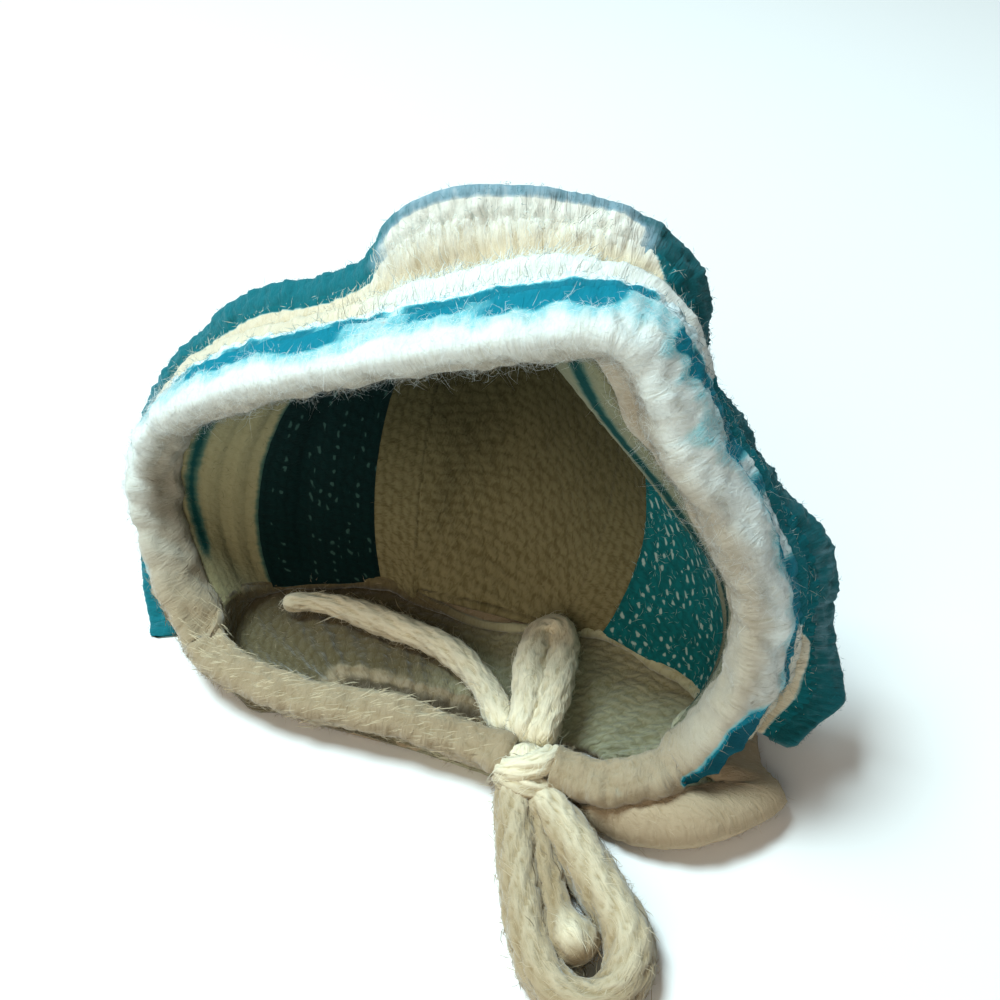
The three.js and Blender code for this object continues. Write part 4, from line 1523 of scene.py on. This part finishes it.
@dataclass
class NeckBand:
    """Cream band folded under the hood."""

    gathers: int = 34  # folds that run in to the drawn slit
    puff: float = 4.2  # height of the soft bulge on the right, beside the knot

    def build(self) -> list[Object]:
        """Builds the neck band.

        Returns:
            The one piece.
        """
        def swell(u: Array, v: Array, points: Array) -> Array:
            """Gathers towards the drawn slit, and the bulge on the right."""
            fan = np.sin(u * 2 * math.pi * self.gathers) * 0.45 * smooth((v - 0.45) * 3)
            bulge = self.puff * window(u * ALONG_NECK, 15.6, 19.6, 1.2) * window(v, 0.06, 0.36, 0.16)
            return fan + bulge + 0.5 * waves(points, 20, 41) * smooth(v * 5)

        band = NeckShape().middle()

        def tint(u: Array, v: Array, side: Array) -> Array:
            """Painted shade: darker, browner wool on the outer face, and the drawn slit's shade."""
            place = band(u, v)
            slit = window(place[..., 0], -36, 9, 10) * window(place[..., 1], -38.5, -28.5, 6)
            return np.where(side < 0, 2.7 * slit, smooth((v - 0.08) / 0.05))

        shell = Shell(
            band, (260, 32), wall=BAND_WALL, swell=swell, floor=0.0, tint=tint,
            outer=Face(Stitch.KNIT, raise_by=0.0), inner=Face(Stitch.PURL, raise_by=0.0), edge_steps=2,
            fur=(1.0, 0.4), drawn=(0.1, 1.0),
        )
        piece = knitted("neck_band", shell, NECK)
        return [piece]


@dataclass
class TieCord:
    """Knitted tie cord with its bow, all of one brushed cord."""

    left: Route = (
        (-61, -15.7, 7.6), (-53.2, -12.2, 7.4), (-43.2, -11.2, 7.4), (-32.2, -12.5, 7.4),
        (-21.6, -14.1, 7.8), (-11.6, -16.5, 8.4), (-2.6, -20.8, 8.8), (4.8, -26.6, 9.2), (10.2, -32.4, 9.6),
        (13.8, -37.2, 9.8), (16.4, -41.6, 9.8),
    )
    front: Route = (
        (24.6, -51.6, 7.4), (24.2, -56.4, 5.8), (26.2, -61.2, 5.2), (28.4, -66.6, 5), (30.9, -72.5, 5),
        (33.6, -78.4, 5), (36.6, -84.3, 5), (40.2, -90.6, 5), (44.6, -96.2, 5), (50, -99.6, 5),
        (55.6, -99.6, 5), (59.8, -96.2, 5), (61.6, -91, 5), (60.8, -85.2, 5), (57.8, -80, 5),
        (53.2, -75.2, 5), (48.2, -70.2, 5), (43.2, -65.2, 5.3), (38.4, -60.8, 5.6), (33.4, -57, 6.2),
        (28.4, -53.6, 7.4),
    )
    end: Route = (
        (30.4, -59.6, 5), (33, -63.8, 5), (35.4, -68.2, 5), (37.8, -72.6, 5), (40.4, -77, 5),
        (43.4, -81.4, 5.2), (46.8, -85.6, 5.8), (50.8, -89.6, 6.4), (52.6, -91.4, 6.4),
    )
    upright: Route = (
        (21, -43.6, 11.4), (20.2, -37, 13), (18.4, -29, 13.8), (16.4, -22, 13.6), (14.8, -14, 13.2),
        (14.8, -8, 12.8), (17.6, -4.6, 12.6), (21, -7.6, 12.8), (22.6, -14, 13.2), (24, -22, 13.6),
        (25, -30, 13.8), (25.4, -37, 13), (25.4, -43.6, 11.4),
    )
    knot: Route = (
        (23, -42.6, 10.4), (23.8, -45.6, 9.8), (25, -49, 9), (26.2, -52.6, 8), (27.4, -55, 7),
    )
    knot_radius: float = 6.2
    turn: float = 6.2  # cord drawn tight round the knot, diameter
    doubled: float = 8.6  # upright loop, its two limbs together, diameter
    lowest: float = 0.35  # yarn that lies on the table

    @staticmethod
    def wrap(drop: float, tilt: float) -> Route:
        """Route of one turn of cord over the front of the knot.

        Args:
            drop: how far up the knot it passes, in millimetres.
            tilt: slope of the turn.

        Returns:
            Five places.
        """
        middle, right = np.array([25.2, -49.2, 9.0]), np.array([0.94, 0.34, 0.0])
        front, up = np.array([0.27, -0.74, 0.62]), np.array([-0.21, 0.58, 0.79])
        steps = ((-6.4, -2.0), (-5.0, 2.4), (0.0, 5.0), (5.0, 2.4), (6.4, -2.0))
        return tuple(tuple(middle + right * x + front * y + up * (drop + tilt * x)) for x, y in steps)

    def tube(
        self, name: str, points: Route, radius: Callable[[Array], Array], face: Face,
        steps: tuple[int, int], squash: float = 1.0,
    ) -> Object:
        """Knitted tube along a route.

        Args:
            name: name of the piece.
            points: route in millimetres.
            radius: radius at each share of the route.
            face: its stitches.
            steps: rings along it and points round it.
            squash: height over width of its section.

        Returns:
            The object.
        """
        rings, around = steps
        share = np.linspace(0, 1, rings + 1)
        line = route(np.array(points, float), share)
        ahead = unit(np.gradient(line, axis=0))
        side = unit(np.cross(ahead, UP))
        above = np.cross(side, ahead)
        length = np.concatenate([[0], np.cumsum(np.linalg.norm(np.diff(line, axis=0), axis=-1))])
        angle = np.linspace(0, 2 * math.pi, around + 1)
        size = radius(share)[:, None] * np.ones_like(angle)[None]
        cap = np.minimum(length, length[-1] - length)[:, None]
        round_end = np.sqrt(np.clip(1 - (1 - np.clip(cap / size, 0, 1)) ** 2, 0, 1))
        along = np.broadcast_to(length[:, None], size.shape)
        girth = 2 * math.pi * float(radius(np.array([0.5]))[0])
        count = max(round(girth / face.wide), 3)
        across = np.broadcast_to(angle[None] / (2 * math.pi), size.shape)
        twist = along * 0.012
        lift = knit_height((across + twist) * count, along / face.high, face.seed)
        lift[:, -1] = lift[:, 0]
        out = (size + (lift - 0.6) * face.raise_by) * round_end
        place = (
            line[:, None] + side[:, None] * (np.cos(angle)[None] * out)[..., None]
            + above[:, None] * (np.sin(angle)[None] * out * squash)[..., None]
        )
        place[..., 2] = np.maximum(place[..., 2], self.lowest)
        flow = np.broadcast_to(ahead[:, None], place.shape)
        plain = np.zeros_like(lift)
        # Painted shade: the cord is darker where it lies on the table in front.
        painted_shading = (1 - smooth((place[..., 2] - 8) / 6)) * smooth((-46 - place[..., 1]) / 8)
        cloth = Cloth(place, across * girth, along, mix(0.5, lift, 0.6), plain, flow, plain + 1, painted_shading)
        return object_from(name, cloth)

    def build(self) -> list[Object]:
        """Builds the cord and its bow.

        Returns:
            Its pieces.
        """
        stitches = Face(Stitch.KNIT, wide=5.2, high=6.4, raise_by=0.8, seed=29)
        full, thin = CORD * 0.93, CORD * 0.8

        def even(diameter: float, wispy: float = 0.0) -> Callable[[Array], Array]:
            """Radius of a cord that thins out towards its start.

            Args:
                diameter: of the cord, in millimetres.
                wispy: how much of it is gone at the start.

            Returns:
                The function that tube takes.
            """
            def at(s: Array) -> Array:
                """Radius at a share of the route."""
                start = 1 - wispy * (1 - smooth(s / 0.3))
                return diameter / 2 * start * (1 + 0.05 * np.sin(s * 23 + diameter))

            return at

        def blunt(s: Array) -> Array:
            """Radius of the free end, which swells where the cord was cast off."""
            return CORD * (0.38 + 0.24 * smooth((s - 0.6) / 0.25))

        def looser(s: Array) -> Array:
            """Radius of the front loop, whose right limb is looser."""
            return full * (0.57 + 0.1 * smooth((s - 0.5) / 0.2) - 0.06 * smooth((s - 0.85) / 0.12))

        strand, loop, tail, upright = (
            dress(self.tube(node + "_cord", points, radius, stitches, steps), TIE, node)
            for node, points, radius, steps in (
                ("tie_left", self.left, even(thin, 0.35), (160, 36)),
                ("bow_loop_front", self.front, looser, (220, 40)),
                ("tie_end", self.end, blunt, (80, 36)),
                ("bow_loop_back", self.upright, even(self.doubled), (160, 36)),
            )
        )

        def lump(s: Array) -> Array:
            """Radius of the knot, two turns of the cord side by side."""
            turns = 0.86 + 0.14 * np.abs(np.sin(s * 2 * math.pi))
            return self.knot_radius * turns * np.sin(np.clip(s, 0.04, 0.96) * math.pi) ** 0.35

        tight = Face(Stitch.KNIT, wide=3.8, high=5.0, raise_by=0.8, seed=31)
        core = self.tube("bow_knot_cord", self.knot, lump, tight, (80, 48), squash=0.92)
        knot = dress(core, TIE, "bow_knot")
        turns = [
            self.tube(f"bow_knot_wrap_{k}", self.wrap(drop, tilt), even(self.turn), stitches, (70, 30))
            for k, (drop, tilt) in enumerate(((1.6, 0.28), (-3.4, -0.2)), 1)
        ]
        wraps = [dress(turn, TIE) for turn in turns]

        def in_frame(points: Route) -> list[Point]:
            """Route in metres in the row frame, close enough together to have its length."""
            line = route(np.array(points, float), np.linspace(0, 1, 61))
            return [tuple(p) for p in ((line - ORIGIN) * METRES).tolist()]

        for piece, points, diameter, end, others in (
            (strand, self.left, thin, "knot", [knot, upright, *wraps]),
            (loop, self.front, CORD, "object", [tail]),
        ):
            path = in_frame(points)
            length = sum(math.dist(a, b) for a, b in zip(path, path[1:]))
            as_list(others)
            log.info("%s: %.0f mm of cord", piece.name, length / METRES)
        return [strand, loop, tail, upright, knot, *wraps]


@dataclass
class Fuzz:
    """Loose fibres of brushed wool on one or more pieces."""

    name: str
    finish: FibreFinish
    count: int
    length: tuple[float, float]
    thick: float = 0.07  # radius at the widest
    rise: float = 0.8  # how steeply the fibres stand
    curl: float = 0.9
    comb: float = 0.0  # share of the yarn's own direction
    slant: float = 0.6  # angle between the yarn and its combed strands
    rings: int = 1  # bends in each fibre
    shy: float = 0.6  # how far it keeps off the second yarn
    where: Callable[[Array], Array] = lambda places: np.ones(len(places))  # share that grows at each place
    seed: int = 50

    def roots(self, sources: list[Object], rng: np.random.Generator) -> tuple[Array, ...]:
        """Random places on the pieces.

        Args:
            sources: the pieces the fibres grow on.
            rng: random numbers.

        Returns:
            Roots, the way out of the surface there, the way its yarn runs, and its share of painted light
            and shade.
        """
        parts = []
        for piece in sources:
            mesh = piece.data
            corner = numbers(mesh.loops, "vertex_index", kind=np.int32)
            at = corner[numbers(mesh.polygons, "loop_start", kind=np.int32)]
            tint, fur, painted_shading = (
                numbers(mesh.attributes[key].data, "value")[at] for key in ("tint", "fur", "painted_shading")
            )
            flow = numbers(mesh.attributes["flow"].data, "vector", 3)[at]
            centre = numbers(mesh.polygons, "center", 3) / METRES
            weight = numbers(mesh.polygons, "area") * fur * (1 - self.shy * np.clip(tint, 0, 1))
            weight = weight * self.where(centre + ORIGIN)
            parts.append((centre, numbers(mesh.polygons, "normal", 3), flow, painted_shading, weight))
        centre, normal, flow, painted_shading, weight = (np.concatenate(x) for x in zip(*parts))
        pick = rng.choice(len(weight), self.count, p=weight / weight.sum())
        return centre[pick] + rng.normal(size=(self.count, 3)) * 0.25, normal[pick], flow[pick], painted_shading[pick]

    def build(self, sources: list[Object]) -> Object:
        """Builds the fibres as one mesh of thin closed spindles.

        Args:
            sources: the pieces they grow on.

        Returns:
            The piece.
        """
        rng = np.random.default_rng(self.seed)
        root, normal, flow, painted_shading = self.roots(sources, rng)
        n = self.count
        loose = unit(np.cross(normal, rng.normal(size=(n, 3))))
        along = unit(flow - normal * (flow * normal).sum(-1, keepdims=True))
        sign = np.where(rng.random((n, 1)) < 0.5, -1.0, 1.0)
        combed = along * math.cos(self.slant) + np.cross(normal, along) * math.sin(self.slant)
        tangent = unit(mix(loose, combed * sign, self.comb))
        way = unit(normal * self.rise * rng.uniform(0.2, 1.2, (n, 1)) + tangent)
        bend = rng.normal(size=(n, 3)) * 0.6 + np.cross(way, normal) * sign - normal * self.rise * 0.6
        bend = bend * self.curl - normal * 0.3 * self.comb
        reach = mix(self.length[0], self.length[1], rng.random((n, 1)) ** 2)
        share = np.linspace(0, 1, self.rings + 2)
        turns, phase = rng.uniform(0.6, 1.3, (n, 1)) * 2 * math.pi, rng.uniform(0, 2 * math.pi, (n, 1))
        curl = np.cross(way, unit(bend)) * self.curl * 0.16 * reach * (self.rings > 1)
        spine = np.stack([
            root - normal * 0.2 + way * reach * x + bend * reach * x**2 * 0.5
            + curl * (np.sin(turns * x + phase) - np.sin(phase)) for x in share
        ], 1)
        spine[..., 2] = np.maximum(spine[..., 2], 0.2)
        ahead = unit(np.gradient(spine, axis=1))
        side = unit(np.cross(ahead, normal[:, None] + 0.01))
        above = np.cross(ahead, side)
        verts = [spine[:, 0]]
        radius = self.thick * rng.uniform(0.5, 1.2, (n, 1))
        for k in range(1, self.rings + 1):
            for angle in (0.0, math.radians(120), math.radians(240)):
                out = math.cos(angle) * side[:, k] + math.sin(angle) * above[:, k]
                verts.append(spine[:, k] + radius * out)
        verts.append(spine[:, -1])
        places = np.stack(verts, 1).reshape(-1, 3) * METRES
        size, last = 3 * self.rings + 2, 3 * self.rings + 1
        faces = [(1 + (c + 1) % 3, 1 + c, 0) for c in range(3)]
        for k in range(self.rings - 1):
            for c in range(3):
                d = (c + 1) % 3
                faces.append((3 * k + 1 + c, 3 * k + 1 + d, 3 * k + 4 + d, 3 * k + 4 + c))
        faces += [(last - 3 + c, last - 3 + (c + 1) % 3, last) for c in range(3)]
        every = [tuple(i * size + k for k in face) for i in range(n) for face in faces]
        mesh = bpy.data.meshes.new(self.name)
        mesh.from_pydata(places.tolist(), [], every)
        note(mesh, "painted_shading", np.repeat(painted_shading, size))
        mesh.uv_layers.new(name="UVMap")
        mesh.shade_smooth()
        mesh.normals_split_custom_set_from_vertices(np.repeat(normal, size, 0).tolist())
        piece = put(self.name, mesh)
        piece.visible_shadow = False
        return dress(piece, self.finish)


@dataclass
class Studio:
    """Camera, floor and lights."""

    azimuth: float = 20.0
    elevation: float = 38.0
    distance: float = 300.0
    focus: float = 1.15  # focal length over the picture's width
    sensor: float = 36.0
    target: Point = (0.0, 0.0, 50.0)  # place the camera looks at, before the frame's origin is taken off

    def camera(self) -> None:
        """Places the camera at the photograph's angle."""
        a, e = math.radians(self.azimuth), math.radians(self.elevation)
        target = (np.array(self.target) - ORIGIN) * METRES
        back = np.array([math.sin(a) * math.cos(e), -math.cos(a) * math.cos(e), math.sin(e)])
        data = bpy.data.cameras.new("camera")
        data.sensor_width = self.sensor
        data.lens = self.focus * self.sensor
        data.clip_start = 0.01
        eye = put("camera", data)
        eye.location = Vector(target + back * self.distance * METRES)
        eye.rotation_euler = Vector(-back).to_track_quat("-Z", "Y").to_euler()
        bpy.context.scene.camera = eye

    def floor(self) -> None:
        """Lays a plain pale floor."""
        bm = bmesh.new()
        bmesh.ops.create_grid(bm, x_segments=2, y_segments=2, size=2.5)
        mesh = bpy.data.meshes.new("floor")
        bm.to_mesh(mesh)
        bm.free()
        floor = put("floor", mesh)
        paint = bpy.data.materials.new("floor_paint")
        paint.use_nodes = True
        shader = paint.node_tree.nodes["Principled BSDF"]
        shader.inputs["Base Color"].default_value = (0.9, 0.9, 0.9, 1)
        shader.inputs["Roughness"].default_value = 0.8
        mesh.materials.append(paint)

    def lamp(self, name: str, place: Point, size: float, power: float, colour: Colour) -> None:
        """Hangs one soft square lamp that points at the bonnet.

        Args:
            name: name of the lamp.
            place: where it hangs, in metres.
            size: length of its side, in metres.
            power: its power in watts.
            colour: colour of its light.
        """
        data = bpy.data.lights.new(name, "AREA")
        data.size = size
        data.energy = power
        data.color = colour
        lamp = put(name, data)
        lamp.location = Vector(place)
        lamp.rotation_euler = (Vector((0, 0, 0.05)) - Vector(place)).to_track_quat("-Z", "Y").to_euler()

    def lights(self) -> None:
        """Lights the bonnet as by a cool window behind on the left and a yellowish room lamp in front."""
        self.lamp("window", (-0.85, 0.0, 1.9), 0.8, 57.0, (0.77, 0.96, 1.0))
        self.lamp("room", (-0.2, -1.9, 1.1), 1.6, 20.0, (1.0, 0.88, 0.72))
        world = bpy.data.worlds.new("room_light")
        world.use_nodes = True
        world.node_tree.nodes["Background"].inputs["Color"].default_value = (1.0, 0.98, 0.94, 1)
        world.node_tree.nodes["Background"].inputs["Strength"].default_value = 0.1
        bpy.context.scene.world = world
        bpy.context.scene.view_settings.view_transform = "Standard"

    def build(self) -> None:
        """Sets up the whole studio."""
        self.camera()
        self.floor()
        self.lights()


def main() -> None:
    """Builds the bonnet and its studio."""
    logging.basicConfig(level=logging.INFO, format="%(name)s %(message)s")
    Studio().build()
    cord = TieCord().build()
    hood = Hood().build()
    cuff, stripe, ruffle, edge = Brim().build()
    neck = NeckBand().build()
    short, long, nap = (1.0, 3.4), (3.0, 6.5), 0.05  # lengths, and the radius of a short fibre

    def crown(places: Array) -> Array:
        """The upright part of the frill."""
        return smooth((places[:, 2] - 96) / 8) * smooth((27 - places[:, 0]) / 8)

    def lip(places: Array) -> Array:
        """The roll over the face opening, the most brushed part."""
        return smooth((places[:, 2] - 50) / 20)

    def hem(places: Array) -> Array:
        """The rolled hem on the left and the lower part of the cuff."""
        return smooth((22 - places[:, 2]) / 8) * smooth((16 - places[:, 0]) / 8)

    def right(places: Array) -> Array:
        """Right of the hood, where the broad stripe is brushed."""
        return smooth((places[:, 0] - 20) / 10)

    Fuzz("cuff_fuzz", CREAM_FIBRE, 26000, short, nap, shy=1.0, seed=51).build([cuff])
    Fuzz("cuff_halo", HALO_FIBRE, 6000, (1.5, 5.0), 0.03, 0.5, 1.7, 0, 0.6, 2, 1.0, lip, 61).build([cuff])
    Fuzz("hem_strands", HEM_FIBRE, 2400, long, 0.13, 0.02, 0.2, 0.96, 0.45, 2, 0, hem, 66).build([cuff])
    Fuzz("ruffle_fuzz", FRILL_FIBRE, 8000, short, nap, seed=52).build([ruffle])
    Fuzz(
        "ruffle_strands", FRILL_FIBRE, 5000, long, 0.08, 0.1, 0.7, 0.88, 1.5, 2, 1.0, crown, 62
    ).build([ruffle])
    Fuzz("stripe_fuzz", TEAL_FIBRE, 5000, short, nap, seed=53).build([stripe])
    Fuzz("edge_fuzz", EDGE_FIBRE, 8000, (0.8, 2.2), nap, shy=0.9, seed=58).build([edge])
    Fuzz("cord_fuzz", TIE_FIBRE, 8000, short, nap, seed=55).build(cord)
    Fuzz("cord_strands", TIE_FIBRE, 4200, long, 0.08, 0.06, 0.5, 0.94, 0.4, 2, seed=65).build(cord)
    Fuzz("neck_fuzz", NECK_FIBRE, 6500, short, nap, rise=0.6, shy=0, seed=56).build(neck)
    front, band, *rear = hood
    Fuzz("hood_fuzz", INNER_FIBRE, 5000, (1.0, 3.0), nap, rise=0.4, seed=57).build([front, *rear])
    Fuzz(
        "band_fuzz", BAND_FIBRE, 2200, (1.2, 3.0), 0.09, rise=0.1, shy=0, where=right, seed=59
    ).build([band])


if __name__ == "__main__":
    main()
